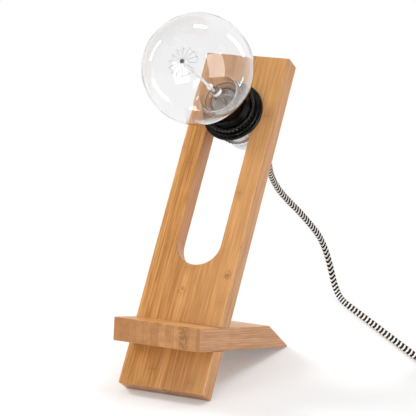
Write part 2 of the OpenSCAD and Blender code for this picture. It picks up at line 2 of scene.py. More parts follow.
# # A bare bulb table lamp, dressed for its portrait
# The lamp is two bamboo boards that cross in a halving joint, a lampholder that is clamped in
# a slot, a clear globe bulb and a braided cord. The solids come from CAD and already have the
# right sizes, so this notebook only adds what they lack: grain, glass, braid and light.

# %% Load the lamp's solids
import math
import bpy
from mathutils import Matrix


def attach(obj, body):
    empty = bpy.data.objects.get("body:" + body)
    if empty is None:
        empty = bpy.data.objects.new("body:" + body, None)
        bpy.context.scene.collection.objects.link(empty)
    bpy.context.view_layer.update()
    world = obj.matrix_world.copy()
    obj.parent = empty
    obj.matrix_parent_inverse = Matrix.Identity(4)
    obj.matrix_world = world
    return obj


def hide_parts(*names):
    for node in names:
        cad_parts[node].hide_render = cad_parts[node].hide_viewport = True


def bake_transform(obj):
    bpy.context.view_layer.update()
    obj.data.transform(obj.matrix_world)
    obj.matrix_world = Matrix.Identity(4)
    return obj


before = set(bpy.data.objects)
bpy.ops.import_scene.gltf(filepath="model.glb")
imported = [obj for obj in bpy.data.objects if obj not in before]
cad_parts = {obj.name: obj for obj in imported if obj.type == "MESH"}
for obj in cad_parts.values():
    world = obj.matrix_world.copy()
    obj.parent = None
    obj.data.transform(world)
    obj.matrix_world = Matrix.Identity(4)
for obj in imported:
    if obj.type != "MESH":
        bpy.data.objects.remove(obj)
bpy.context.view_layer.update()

from types import SimpleNamespace

import bmesh
import bpy
from mathutils import Matrix, Vector

# %% [markdown]
# ## Where things are
# The upright leans back 35 degrees, and nearly everything is square to it. It is easier to
# draw a ring or a bulb round a straight axis and to lean the finished mesh, so each part of
# the lamp gets a matrix that carries its own millimetres to the room's metres.

# %% Frames of the boards and of the bulb's axis
MM = 0.001
LEAN = math.radians(35)
FOOT_SLOPE = math.radians(15)
LEAN_TURN = math.radians(90) - LEAN
UPRIGHT_T, UPRIGHT_SEAT = 18, 1.0
SOCKET_V = 254.5
FOOT_REACH, TIP_RUN = 162, 2
SEAT_Y = UPRIGHT_SEAT / (2 * math.sin(LEAN))
FOOT_Y = SEAT_Y + (FOOT_REACH - TIP_RUN)
to_metres = Matrix.Scale(MM, 4)
on_upright = (to_metres @ Matrix.Translation((0, SEAT_Y, 0))
              @ Matrix.Rotation(LEAN_TURN, 4, "X"))
on_axis = on_upright @ Matrix.Translation((0, SOCKET_V, UPRIGHT_T))
on_foot = (to_metres @ Matrix.Translation((0, FOOT_Y, 0))
           @ Matrix.Rotation(-FOOT_SLOPE, 4, "X"))
print("bulb axis leaves the board at", tuple(round(c, 4) for c in on_axis.to_translation()))

# %% [markdown]
# ## The camera
# The picture was taken from the lamp's right front, a little above it, with a long lens:
# the boards' far edges are hardly smaller than the near ones. The place comes from fitting a
# camera to the corners of both boards, so the lens and the distance belong together.

# %% Camera
CAMERA_AT = (0.76246, -1.54399, 0.59985)
SENSOR_MM, LENS_MM = 36, 185.63
CAMERA_TURN = math.radians(25.151)
CAMERA_RISE = math.radians(14.248)
camera_data = bpy.data.cameras.new("camera")
camera_data.sensor_width = SENSOR_MM
camera_data.lens = LENS_MM
camera = bpy.data.objects.new("camera", camera_data)
camera.location = CAMERA_AT
camera.rotation_euler = (math.radians(90) - CAMERA_RISE, 0, CAMERA_TURN)
bpy.context.scene.collection.objects.link(camera)
bpy.context.scene.camera = camera
print("camera stands", round(camera.location.length, 2), "m away")

# %% [markdown]
# ## A small paint box
# A finish in Blender is a graph of nodes that ends in one shader. Wiring the nodes by hand
# takes many lines, so these helpers place a node and plug in what feeds it. Colours are
# written as the picture's own 0 to 255 values and turned into the linear light that Blender
# mixes.

# %% Helpers for nodes
def tone(red, green, blue):
    """A picture's colour as linear light."""
    def linear(c):
        c /= 255
        return c / 12.92 if c <= 0.04045 else ((c + 0.055) / 1.055) ** 2.4
    return (linear(red), linear(green), linear(blue), 1)


def put(tree, kind, *sources, **settings):
    """Adds a node; its sources are numbers, colours or other nodes' sockets, in order."""
    node = tree.nodes.new("ShaderNode" + kind)
    for key, value in settings.items():
        setattr(node, key, value)
    for socket, source in zip(node.inputs, sources):
        if isinstance(source, bpy.types.NodeSocket):
            tree.links.new(source, socket)
        elif source is not None:
            socket.default_value = source
    return node


def calc(tree, operation, *values):
    return put(tree, "Math", *values, operation=operation).outputs[0]


def times(tree, a, b):
    return calc(tree, "MULTIPLY", a, b)


def plus(tree, a, b):
    return calc(tree, "ADD", a, b)


def gap(tree, value, place):
    """How far a value is from a place, on either side."""
    return calc(tree, "ABSOLUTE", calc(tree, "SUBTRACT", value, place))


def fold(tree, value):
    """Runs from 0 up to a half and back, once for each whole number."""
    return calc(tree, "PINGPONG", value, 0.5)


def between(tree, value, low, high, to_low=0.0, to_high=1.0, smooth=False):
    """Maps a value from one span to another and keeps it inside."""
    kind = "SMOOTHSTEP" if smooth else "LINEAR"
    return put(tree, "MapRange", value, low, high, to_low, to_high,
               interpolation_type=kind).outputs[0]


def mix(tree, share, a, b):
    """Two colours mixed by a share from 0 to 1."""
    node = tree.nodes.new("ShaderNodeMix")
    node.data_type = "RGBA"
    for index, source in ((0, share), (6, a), (7, b)):
        if isinstance(source, bpy.types.NodeSocket):
            tree.links.new(source, node.inputs[index])
        else:
            node.inputs[index].default_value = source
    return node.outputs[2]


print("node helpers ready")

# %% [markdown]
# Every finish starts from the standard shader, and most need the same few things: the place
# that is painted, noise that breaks up an even tone, and relief. What is turned round the
# bulb's axis changes with the distance from it and the height along it, so one helper works
# those two out in millimetres.

# %% Helpers for finishes
def new_finish(name, **sockets):
    """A finish with the standard shader; sockets are set by name, _ standing for a space."""
    finish = bpy.data.materials.new(name)
    finish.use_nodes = True
    tree = finish.node_tree
    shader = next(n for n in tree.nodes if n.type == "BSDF_PRINCIPLED")
    for key, value in sockets.items():
        shader.inputs[key.replace("_", " ")].default_value = value
    return finish, tree, shader


def feed(tree, shader, socket, source):
    tree.links.new(source, shader.inputs[socket])


def bump(tree, shader, height, depth_mm):
    """Relief on a surface: height from 0 to 1 stands for so many millimetres."""
    node = put(tree, "Bump", 1.0, depth_mm * MM)
    tree.links.new(height, node.inputs["Height"])
    feed(tree, shader, "Normal", node.outputs[0])


def here(tree):
    """The place that is painted, in the object's own metres."""
    return put(tree, "TexCoord").outputs["Object"]


def cloudy(tree, where, scale, detail):
    return put(tree, "TexNoise", where, None, scale, detail).outputs[0]


def in_frame(tree, place, turn):
    """The place that is painted, in the millimetres of a frame that is turned about X."""
    return put(tree, "Mapping", here(tree), tuple(place), (turn, 0, 0), (MM, MM, MM),
               vector_type="TEXTURE").outputs[0]


def round_axis(tree):
    """The distance from the bulb's axis and the height along it."""
    along = in_frame(tree, on_axis.to_translation(), LEAN_TURN)
    flat = put(tree, "VectorMath", along, (1, 1, 0), operation="MULTIPLY").outputs[0]
    radius = put(tree, "VectorMath", flat, operation="LENGTH").outputs["Value"]
    return radius, put(tree, "SeparateXYZ", along).outputs[2]


print("paint box ready")

# %% [markdown]
# ## From outline to piece
# Most of the lamp's small parts are turned: an outline spun round an axis. A thread is the
# same surface with its radius running round with the turn. Everything else is a list of
# corners and faces. One helper makes the piece, turns its faces outwards, keeps curved parts
# smooth and real edges sharp, and ties it to the body it moves with.

# %% Helpers for meshes
CREASE = 38


def linked(name, data):
    """A new object in the scene."""
    thing = bpy.data.objects.new(name, data)
    bpy.context.scene.collection.objects.link(thing)
    return thing


def built(name, corners, faces, place):
    """A mesh from corners and faces, with its faces turned outwards."""
    mesh = bpy.data.meshes.new(name)
    mesh.from_pydata([place @ Vector(c) for c in corners], [], faces)
    work = bmesh.new()
    work.from_mesh(mesh)
    bmesh.ops.recalc_face_normals(work, faces=work.faces)
    work.to_mesh(mesh)
    work.free()
    return mesh


def settle(name, mesh, finish, body, slot, stands_for, crease=CREASE):
    """Gives a mesh its finish and its place on a body, for the solids it stands for."""
    mesh.materials.clear()
    mesh.materials.append(finish)
    mesh.shade_smooth()
    mesh.set_sharp_from_angle(angle=math.radians(crease))
    piece = linked(name, mesh)
    if body:
        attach(piece, body)
    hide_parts(*stands_for)
    print(name, "has", len(mesh.polygons), "faces")
    return piece


def make_piece(name, corners, faces, place, finish, body, slot, stands_for, crease=CREASE):
    mesh = built(name, corners, faces, place)
    return settle(name, mesh, finish, body, slot, stands_for, crease)


print("mesh helpers ready")

# %% [markdown]
# A lathe turns an outline, and a small formula can move each point on the way. Threads, flutes
# and ribs are all waves laid over a plain wall, so they share the formulas for a wave and for
# its fading at both ends.

# %% Helpers for turning
def clamp(share):
    return min(max(share, 0), 1)


def ripple(turns):
    """A wave from 0 up to 1 and back, once for each whole number."""
    return 0.5 - 0.5 * math.cos(2 * math.pi * turns)


def fading(h, low, high, soft):
    """1 between two heights, falling to 0 at both over a soft stretch."""
    return clamp((h - low) / soft) * clamp((high - h) / soft)


def turned(outline, steps=96, shape=None):
    """Corners and faces of a closed outline of (radius, height) spun round the Z axis.

    shape(radius, height, angle) may move each point, as for flutes or a thread."""
    corners, rings = [], []
    for r, h in outline:
        if r < 1e-6:
            rings.append([len(corners)] * steps)
            corners.append((0, 0, h))
            continue
        rings.append(list(range(len(corners), len(corners) + steps)))
        for k in range(steps):
            angle = 2 * math.pi * k / steps
            pr, ph = shape(r, h, angle) if shape else (r, h)
            corners.append((pr * math.cos(angle), pr * math.sin(angle), ph))
    faces = []
    for a, b in zip(rings, rings[1:] + rings[:1]):
        for k in range(steps):
            face = [a[k], a[(k + 1) % steps], b[(k + 1) % steps], b[k]]
            face = [c for i, c in enumerate(face) if c not in face[:i]]
            if len(face) > 2:
                faces.append(face)
    return corners, faces


def arc(centre, radius, start, end, steps):
    """Points of an arc in an outline, its angles in degrees."""
    angles = [math.radians(start + (end - start) * i / steps) for i in range(steps + 1)]
    return [(centre[0] + radius * math.cos(a), centre[1] + radius * math.sin(a))
            for a in angles]


def tube_faces(rings, sides):
    """Quads between rings of corners, and a face to close each end."""
    faces = []
    for a in range(0, (rings - 1) * sides, sides):
        for k in range(sides):
            n = (k + 1) % sides
            faces.append((a + k, a + n, a + sides + n, a + sides + k))
    last = (rings - 1) * sides
    return faces + [tuple(range(sides))[::-1], tuple(range(last, last + sides))]


print("lathe ready")

# %% [markdown]
# ## The braided cord
# The cord is a fixed length of 6 mm textile lead: 0.46 m from the lampholder to the switch
# and the rest in a coil that is tied up beyond the picture's edge. Its route is the one that the
# solids follow. A curve object with a round bevel would be quick, but the braid's pattern
# needs to know how far along and how far round each point lies, so the tube is swept as a mesh
# and that pair of lengths is kept on it as a UV map.

# %% The lead's route
CORD_R = 3.0
GRIP_END = -76.0
EXIT_H = GRIP_END - 0.3
SWITCH_AT = Vector((200, 135, 0))
SWITCH_L, PORT_Z = 60, 7
STRAIGHT, PORT_RUN = 6, 8.5
ALONG = Vector((1, -1, 0)).normalized()
lead_route = [(-2, 213, 161), (-5, 223, 151), (-8, 233, 141), (-9, 245, 130), (-9, 256, 120),
              (-7, 268, 110), (-5, 279, 101), (-2, 290, 92), (0, 300, 83), (3, 310, 73),
              (5, 320, 64), (7, 327, 54), (9, 332, 44), (11, 334, 34), (14, 334, 25),
              (17, 331, 16), (22, 326, 9), (29, 318, 4), (43, 301, 3), (57, 286, 3),
              (70, 272, 3), (84, 257, 3), (97, 243, 3), (109, 230, 3), (122, 216, 3),
              (134, 203, 3), (146, 190, 3), (158, 177, 3), (166, 169, 4), (172, 163, 6)]


def axis_point(h):
    return on_axis @ Vector((0, 0, h)) / MM


def port(side):
    """Where the cord enters the switch: -1 is the lamp's side and 1 the plug's."""
    return SWITCH_AT + side * SWITCH_L / 2 * ALONG + Vector((0, 0, PORT_Z))


exit_at = axis_point(EXIT_H)
outwards = (axis_point(EXIT_H - 10) - exit_at).normalized()
lead_points = ([exit_at, exit_at + outwards * STRAIGHT] + [Vector(p) for p in lead_route]
               + [port(-1) - PORT_RUN * ALONG, port(-1)])
print("lead points:", len(lead_points))

# %% [markdown]
# The rest of the cord is wound up flat. It goes in on a lower layer, climbs to the upper one
# in half a turn and comes out again towards the plug, so one formula gives the whole coil.

# %% The coil's route
COIL_AT, COIL_LIFT, COIL_RISE = Vector((276, 119, 0)), 3.9, 6.6
COIL_IN_R, COIL_STEP, COIL_TURNS = 24, 6.8, 2.5
COIL_FROM, COIL_POINTS = 225, 24
PLUG_GAP, PLUG_T = 22, 13.8


def coil_point(t):
    """A point after so many turns: in on the lower layer, up, and out on the upper one."""
    climb = clamp((t - COIL_TURNS) * 2)
    r = COIL_IN_R + COIL_STEP * abs(t - COIL_TURNS - 0.25)
    a = math.radians(COIL_FROM + 360 * t)
    height = COIL_LIFT + COIL_RISE * ripple(climb / 2)
    return COIL_AT + Vector((r * math.cos(a), r * math.sin(a), height))


COIL_SPAN = 2 * COIL_TURNS + 0.5
coil_in = coil_point(0) - STRAIGHT * ALONG
coil_leave = Vector((-1, 1, 0)).normalized()
coil_out = coil_point(COIL_SPAN) + STRAIGHT * coil_leave
plug_at = coil_out + PLUG_GAP * coil_leave
plug_at.z = PLUG_T / 2
tail_points = ([port(1), port(1) + STRAIGHT * ALONG,
                (port(1) + coil_in) / 2 + Vector((0, 0, 1)), coil_in - STRAIGHT * ALONG, coil_in]
               + [coil_point(i / COIL_POINTS) for i in range(int(COIL_SPAN * COIL_POINTS) + 1)]
               + [coil_out, coil_out + STRAIGHT * coil_leave, (coil_out + plug_at) / 2,
                  plug_at - 5 * coil_leave, plug_at])
print("tail points:", len(tail_points))

# %% [markdown]
# The route's points are joined by a smooth curve through them all, which is cut into equal
# steps. The lead's route is then relaxed, because a cord holds no small kinks, and kept from
# sinking into the table.

# %% Smooth the routes
def running_lengths(points):
    """The length along the points up to each of them."""
    lengths = [0.0]
    for p, q in zip(points, points[1:]):
        lengths.append(lengths[-1] + (q - p).length)
    return lengths


def smooth_route(points, step, parts=12):
    """Points at equal steps along a smooth curve through the given ones."""
    fine = []
    ends = [2 * points[0] - points[1]] + points + [2 * points[-1] - points[-2]]
    for a, b, c, d in zip(ends, ends[1:], ends[2:], ends[3:]):
        stops = [0.0]
        for p, q in ((a, b), (b, c), (c, d)):
            stops.append(stops[-1] + max((q - p).length, 1e-6) ** 0.5)
        t0, t1, t2, t3 = stops
        for i in range(parts):
            t = t1 + (t2 - t1) * i / parts
            ab = a.lerp(b, (t - t0) / (t1 - t0))
            bc = b.lerp(c, (t - t1) / (t2 - t1))
            cd = c.lerp(d, (t - t2) / (t3 - t2))
            abc = ab.lerp(bc, (t - t0) / (t2 - t0))
            bcd = bc.lerp(cd, (t - t1) / (t3 - t1))
            fine.append(abc.lerp(bcd, (t - t1) / (t2 - t1)))
    fine.append(points[-1].copy())
    lengths = running_lengths(fine)
    count = max(2, round(lengths[-1] / step))
    even, at = [], 0
    for i in range(count + 1):
        goal = lengths[-1] * i / count
        while at < len(fine) - 2 and lengths[at + 1] < goal:
            at += 1
        share = (goal - lengths[at]) / max(lengths[at + 1] - lengths[at], 1e-9)
        even.append(fine[at].lerp(fine[at + 1], share))
    return even, lengths[-1]


def relaxed(points, rounds):
    """Evens out small kinks: each point moves half way to the middle of its neighbours."""
    for _ in range(rounds):
        points = (points[:2]
                  + [(a + 2 * b + c) / 4 for a, b, c in zip(points[1:], points[2:], points[3:])]
                  + points[-1:])
    return points


STEP_MM, RELAX_ROUNDS = 1.5, 60
lead_even = relaxed(smooth_route(lead_points, STEP_MM)[0], RELAX_ROUNDS)
for p in lead_even:
    p.z = max(p.z, CORD_R + 0.02)
lead_length = running_lengths(lead_even)[-1]
tail_even, tail_length = smooth_route(tail_points, STEP_MM)
print(f"lead {lead_length:.0f} mm, tail {tail_length:.0f} mm, "
      f"together {(lead_length + tail_length) / 1000:.2f} m")

# %% [markdown]
# The tube is a ring of corners round every point of the route. Each ring is carried on from
# the one before it without twisting, so the zigzag doesn't slip round the cord in a bend.

# %% Helper that sweeps a tube
def swept(points, radius, sides, place=to_metres, weave=lambda length: length):
    """A mesh tube along points, with a UV map of (turn round, millimetres of weave along)."""
    corners, around = [], []
    side = None
    for i, p in enumerate(points):
        ahead = (points[min(i + 1, len(points) - 1)] - points[max(i - 1, 0)]).normalized()
        if side is None:
            side = ahead.orthogonal().normalized()
        side = (side - ahead * side.dot(ahead)).normalized()
        top = ahead.cross(side)
        for k in range(sides):
            a = 2 * math.pi * k / sides
            corners.append(p + radius * (math.cos(a) * side + math.sin(a) * top))
    lengths = [weave(length) for length in running_lengths(points)]
    for low, high in zip(lengths, lengths[1:]):
        for k in range(sides):
            around.append(((k / sides, low), ((k + 1) / sides, low),
                           ((k + 1) / sides, high), (k / sides, high)))
    around += [((0.5, 0.0),) * sides, ((0.5, lengths[-1]),) * sides]
    mesh = bpy.data.meshes.new("tube")
    mesh.from_pydata([place @ c for c in corners], [], tube_faces(len(points), sides))
    uv = mesh.uv_layers.new(name="round_and_along")
    for polygon, pairs in zip(mesh.polygons, around):
        for loop, pair in zip(polygon.loop_indices, pairs):
            uv.data[loop].uv = pair
    return mesh


print("tubes can be swept")

# %% [markdown]
# Black and white yarns are braided over the lead in a zigzag. The finish builds it from the
# two lengths in the UV map: the turn round the cord becomes a wave with two crests, it is
# added to the length along, and every pitch of 4.5 mm of the sum holds one dark and one pale
# band. The yarns follow the same slant, four to a pitch, and stand up as a small relief.

# %% Braid finish
BRAID_PITCH, CRESTS, YARNS = 4.5, 2, 4.0


def braid_finish():
    finish, tree, shader = new_finish("textile braid", Roughness=0.92, Sheen_Weight=0.08,
                                      Sheen_Roughness=0.5, Specular_IOR_Level=0.1)
    pair = put(tree, "UVMap", uv_map="round_and_along").outputs[0]
    turn, along = put(tree, "SeparateXYZ", pair).outputs[:2]
    wave = calc(tree, "SINE", times(tree, turn, CRESTS * 2 * math.pi))
    slant = plus(tree, calc(tree, "DIVIDE", along, BRAID_PITCH), times(tree, wave, 0.3))
    wobble = cloudy(tree, pair, 0.9, 2.0)
    slant = plus(tree, slant, times(tree, wobble, 0.15))
    pale = between(tree, fold(tree, slant), 0.265, 0.315, smooth=True)
    yarn = fold(tree, times(tree, slant, YARNS))
    grain = cloudy(tree, here(tree), 2600.0, 3.0)
    black = mix(tree, grain, tone(10, 7, 6), tone(24, 18, 16))
    white = mix(tree, grain, tone(226, 218, 210), tone(246, 240, 234))
    # Painted shade: the colour is darkened towards dark brown where the yarns meet, as shade in
    # the grooves between them.
    hollow = between(tree, yarn, 0.0, 0.12, 0.85, 1.0)
    colour = mix(tree, pale, black, white)
    feed(tree, shader, "Base Color", mix(tree, hollow, tone(30, 24, 22), colour))
    bump(tree, shader, plus(tree, yarn, times(tree, grain, 0.2)), 0.12)
    return finish


braid = braid_finish()
print("braid ready, its pitch is", BRAID_PITCH, "mm")

# %% [markdown]
# The lead's first stretch hangs from the lampholder, and the lampholder can slide down the
# slot. Seen from the camera, the cord on the table is foreshortened, and the picture shows
# one even pitch all along, so the braid is drawn longer there.

# %% Lay the cord
TIGHT_TO, PULL_OVER, PULLED = 225.0, 50.0, 1.8
CORD_SIDES = 16


def weave(length):
    """The braid is tight up to the floor and pulled longer on it."""
    over = max(length - TIGHT_TO, 0.0)
    eased = min(over, PULL_OVER)
    lost = (1 - 1 / PULLED) * (eased * eased / (2 * PULL_OVER) + over - eased)
    return length - lost


lead = settle("braided_lead", swept(lead_even, CORD_R, CORD_SIDES, weave=weave), braid, None,
              "textile", ["cord_lead"])
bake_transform(lead)
tail = settle("braided_tail", swept(tail_even, CORD_R, CORD_SIDES), braid, "stand",
              "textile", ["cord_mid", "cord_coil", "cord_end"])

# %% [markdown]
# ## Sawing the boards
# A board is an outline with a thickness. Its rims are eased as a sanding block would do it,
# then the notch for the other board is sawn out, and last the table's plane takes the foot of
# the board off flat. The easing is a bevel of four small steps. The cuts are Boolean modifiers,
# because a slanting notch through a rounded edge is hard to write down as corners. A weighted
# normal modifier keeps the big flat faces flat in the light.

# %% Helpers for boards
def plate(loops, low, high):
    """A flat board from closed loops of (x, y): the first is the outline, the rest are holes."""
    work = bmesh.new()
    for level in (low, high):
        rims = []
        for loop in loops:
            ring = [work.verts.new((x, y, level)) for x, y in loop]
            rims += [work.edges.new((a, b)) for a, b in zip(ring, ring[1:] + ring[:1])]
        bmesh.ops.triangle_fill(work, edges=rims, use_beauty=True)
    work.verts.ensure_lookup_table()
    total = sum(len(loop) for loop in loops)
    start = 0
    for loop in loops:
        for i in range(len(loop)):
            a, b = start + i, start + (i + 1) % len(loop)
            work.faces.new([work.verts[a], work.verts[b],
                            work.verts[b + total], work.verts[a + total]])
        start += len(loop)
    bmesh.ops.recalc_face_normals(work, faces=work.faces)
    return work


def ease(work, width, chosen=lambda middle: True, steps=4):
    """Rounds the sharp edges whose middle is chosen."""
    sharp = [e for e in work.edges if len(e.link_faces) == 2
             and e.calc_face_angle() > math.radians(50)
             and chosen((e.verts[0].co + e.verts[1].co) / 2)]
    bmesh.ops.bevel(work, geom=sharp, offset=width, offset_type="OFFSET", segments=steps,
                    profile=0.5, affect="EDGES")


def block(low, high, place):
    """A box to cut with, in a board's own millimetres."""
    corners = [(x, y, z) for x in (low[0], high[0]) for y in (low[1], high[1])
               for z in (low[2], high[2])]
    faces = [(0, 1, 3, 2), (4, 6, 7, 5), (0, 4, 5, 1), (2, 3, 7, 6), (0, 2, 6, 4),
             (1, 5, 7, 3)]
    mesh = bpy.data.meshes.new("cutter")
    mesh.from_pydata([place @ Vector(c) for c in corners], [], faces)
    return linked("cutter", mesh)


def sawn(work, place, cutters):
    """The board's mesh in place, after its cuts."""
    raw = bpy.data.meshes.new("raw")
    work.to_mesh(raw)
    work.free()
    raw.transform(place)
    raw.shade_smooth()
    raw.set_sharp_from_angle(angle=math.radians(CREASE))
    board = linked("raw", raw)
    for cutter in cutters:
        cut = board.modifiers.new("cut", "BOOLEAN")
        cut.operation, cut.solver, cut.object = "DIFFERENCE", "EXACT", cutter
    weighted = board.modifiers.new("flat faces", "WEIGHTED_NORMAL")
    weighted.keep_sharp = True
    graph = bpy.context.evaluated_depsgraph_get()
    mesh = bpy.data.meshes.new_from_object(board.evaluated_get(graph))
    for spare in [board] + cutters:
        bpy.data.objects.remove(spare)
    return mesh


print("saw ready")

# %% [markdown]
# ## Bamboo
# Laminated bamboo is strips glued side by side. Every strip has its own tone, fine fibres run
# along it, and the plant's nodes cross it as small dark smudges at a different height in each
# strip. Across the end the fibres are cut and show as dots, and the tone is darker. Two knots
# on the upright, a speckled spot in each board's end and the dark line where the boards meet
# are put at their own places. All of it is drawn in the board's own millimetres, so the
# strips run along the board however it leans.

# %% Strips and fibres
def strips(name, place, turn, strip_mm, seed):
    """Starts a bamboo finish; the strips lie side by side along the board's X axis.

    place and turn carry the board's frame. Every strip has a lot, its own share from 0 to 1."""
    finish, tree, shader = new_finish(name, Coat_Weight=0.08, Coat_Roughness=0.35,
                                      Specular_IOR_Level=0.35)
    at = in_frame(tree, place, turn)
    x, y, z = put(tree, "SeparateXYZ", at).outputs
    strip = calc(tree, "DIVIDE", plus(tree, x, 400 + seed), strip_mm)
    number = calc(tree, "FLOOR", strip)
    lot = put(tree, "TexWhiteNoise", None, plus(tree, number, seed * 7.3),
              noise_dimensions="1D").outputs[0]
    glue = between(tree, fold(tree, strip), 0.0, 0.3 / strip_mm, 1.0, 0.0)

    def fibres(along, scale, detail, distortion=0.0):
        """Noise that is drawn out along the board and differs from strip to strip."""
        drawn = plus(tree, times(tree, y, along), times(tree, number, 3.7))
        stretched = put(tree, "CombineXYZ", x, drawn, z).outputs[0]
        return put(tree, "TexNoise", stretched, None, scale, detail, 0.6, 2.0, 0.0,
                   distortion).outputs[0]

    broad = fibres(0.016, 0.22, 3.0, 0.3)
    fine = fibres(0.032, 0.6, 4.0)
    hair = fibres(0.016, 2.6, 3.0)
    streak = plus(tree, times(tree, broad, 0.26),
                  plus(tree, times(tree, fine, 0.42), times(tree, hair, 0.32)))
    streak = between(tree, streak, 0.43, 0.57)
    flecks_at = put(tree, "CombineXYZ", x, times(tree, y, 0.4), times(tree, z, 0.6)).outputs[0]
    flecks = between(tree, cloudy(tree, flecks_at, 0.7, 2.0), 0.42, 0.56)
    return SimpleNamespace(finish=finish, tree=tree, shader=shader, at=at, x=x, y=y, z=z,
                           lot=lot, glue=glue, fine=fine, hair=hair, streak=streak,
                           flecks=flecks)


print("strips can be laid")

# %% [markdown]
# A node is a thin dark line across its strip with a softer smudge round it. How far a point is
# from the nearest node comes from folding the length along the board, and the strip's own lot
# moves the fold, so that the nodes of neighbouring strips seldom line up.

# %% Node marks
NODE_GAP = 173.0


def node_marks(wood):
    tree = wood.tree
    turns = plus(tree, calc(tree, "DIVIDE", wood.y, NODE_GAP), times(tree, wood.lot, 5.0))
    away = times(tree, fold(tree, turns), NODE_GAP)
    line = between(tree, away, 0.3, 1.9, 1.0, 0.0, smooth=True)
    flare = between(tree, away, 1.0, 11.0, 0.55, 0.0, smooth=True)
    blotch = between(tree, wood.fine, 0.42, 0.62)
    return times(tree, blotch, calc(tree, "MAXIMUM", line, flare))


print("nodes are", NODE_GAP, "mm apart in a strip")

# %% [markdown]
# The face shows all of it: two tones by the strip's lot, streaks, nodes, the glue lines and the
# knots. It is painted paler towards one edge, as in the picture: painted light from that side.
# Where the other board stands on it, a thin dark line of shade runs across.

# %% The face of a board
def face_colour(wood, marks, knots, crossing):
    tree, x, y = wood.tree, wood.x, wood.y
    light = mix(tree, wood.lot, tone(218, 162, 99), tone(209, 150, 84))
    dark = mix(tree, wood.lot, tone(180, 121, 62), tone(162, 103, 46))
    face = mix(tree, wood.streak, dark, light)
    # Painted light: the face is painted paler towards its +X edge, as if more light fell there.
    painted_light_edge = between(tree, x, -30.0, 38.0, 0.0, 0.42, smooth=True)
    face = mix(tree, painted_light_edge, face, tone(222, 170, 116))
    face = mix(tree, times(tree, marks, 0.7), face, tone(150, 96, 50))
    face = mix(tree, times(tree, wood.glue, 0.35), face, tone(160, 106, 60))
    for knot_x, knot_y in knots:
        away = put(tree, "CombineXYZ",
                   calc(tree, "DIVIDE", calc(tree, "SUBTRACT", x, knot_x), 5.0),
                   calc(tree, "DIVIDE", calc(tree, "SUBTRACT", y, knot_y), 6.0)).outputs[0]
        away = put(tree, "VectorMath", away, operation="LENGTH").outputs["Value"]
        fleck = times(tree, wood.flecks, between(tree, away, 0.2, 1.0, 0.75, 0.0))
        face = mix(tree, fleck, face, tone(126, 78, 34))
    if crossing is not None:
        near = between(tree, gap(tree, y, crossing), 1.2, 3.0, 1.0, 0.0)
        shut = between(tree, x, -25.0, 15.0, 0.0, 1.0, smooth=True)
        face = mix(tree, times(tree, near, shut), face, tone(70, 42, 22))
    return face


print("faces can be coloured")

# %% [markdown]
# The narrow side cuts along the fibres, so it keeps the streaks, and the foot's side shows the
# layers of its grain as well. The sawn end cuts across the fibres: they become dots, the tone
# is darker, and a speckled spot marks the pith.

# %% The side and the end of a board
def side_colour(wood, marks, grain_lines):
    tree = wood.tree
    side = mix(tree, wood.streak, tone(190, 130, 78), tone(222, 164, 106))
    if grain_lines:
        sway_at = put(tree, "CombineXYZ", times(tree, wood.y, 0.02),
                      times(tree, wood.z, 0.1)).outputs[0]
        sway = cloudy(tree, sway_at, 1.0, 2.0)
        layers = plus(tree, calc(tree, "DIVIDE", wood.z, grain_lines), times(tree, sway, 1.3))
        layer = between(tree, fold(tree, layers), 0.1, 0.4, smooth=True)
        side = mix(tree, times(tree, layer, 0.55), side, tone(186, 122, 74))
    return mix(tree, times(tree, marks, 0.3), side, tone(150, 96, 56))


def end_colour(wood, pith_at):
    tree = wood.tree
    dots_at = put(tree, "CombineXYZ", times(tree, wood.x, 1.5), times(tree, wood.y, 0.05),
                  times(tree, wood.z, 0.6)).outputs[0]
    dots = put(tree, "TexVoronoi", dots_at, None, 1.0).outputs["Distance"]
    dot = between(tree, dots, 0.15, 0.5, 1.0, 0.0)
    patches = between(tree, cloudy(tree, wood.at, 0.16, 3.0), 0.4, 0.7, 0.0, 0.5)
    end = mix(tree, wood.lot, tone(208, 152, 98), tone(184, 128, 78))
    end = mix(tree, patches, end, tone(164, 108, 64))
    end = mix(tree, times(tree, dot, 0.4), end, tone(140, 92, 56))
    end = mix(tree, times(tree, wood.glue, 0.5), end, tone(148, 98, 58))
    pith = between(tree, gap(tree, wood.x, pith_at), 2.5, 5.5, 0.65, 0.0, smooth=True)
    return mix(tree, times(tree, pith, wood.flecks), end, tone(134, 92, 50))


print("sides and ends can be coloured")

# %% [markdown]
# Which of the three a point gets is told by its surface's direction. The direction is turned
# into the board's frame, and where it points along the board the end is shown, and where it
# points across, the side.

# %% Bamboo finish
def bamboo(name, place, turn, strip_mm, seed, pith_at, grain_lines=0.0, crossing=None,
           knots=()):
    """Bamboo in a board's frame, which place and turn carry.

    pith_at is where the end grain is speckled, crossing is how far along the board the other
    one stands on it, and knots are (x, y) of the fibre knots on its face."""
    wood = strips(name, place, turn, strip_mm, seed)
    tree, shader = wood.tree, wood.shader
    facing = put(tree, "Mapping", put(tree, "NewGeometry").outputs["True Normal"], None,
                 (-turn, 0, 0), vector_type="VECTOR").outputs[0]
    across, along = [calc(tree, "ABSOLUTE", n) for n in
                     put(tree, "SeparateXYZ", facing).outputs[:2]]
    on_side = between(tree, across, 0.6, 0.8, smooth=True)
    on_end = between(tree, along, 0.6, 0.8, smooth=True)
    marks = node_marks(wood)
    colour = mix(tree, on_side, face_colour(wood, marks, knots, crossing),
                 side_colour(wood, marks, grain_lines))
    colour = mix(tree, on_end, colour, end_colour(wood, pith_at))
    feed(tree, shader, "Base Color", colour)
    feed(tree, shader, "Roughness", between(tree, wood.streak, 0, 1, 0.46, 0.36))
    relief = plus(tree, times(tree, wood.hair, 0.7), times(tree, wood.glue, -0.6))
    bump(tree, shader, relief, 0.05)
    return wood.finish


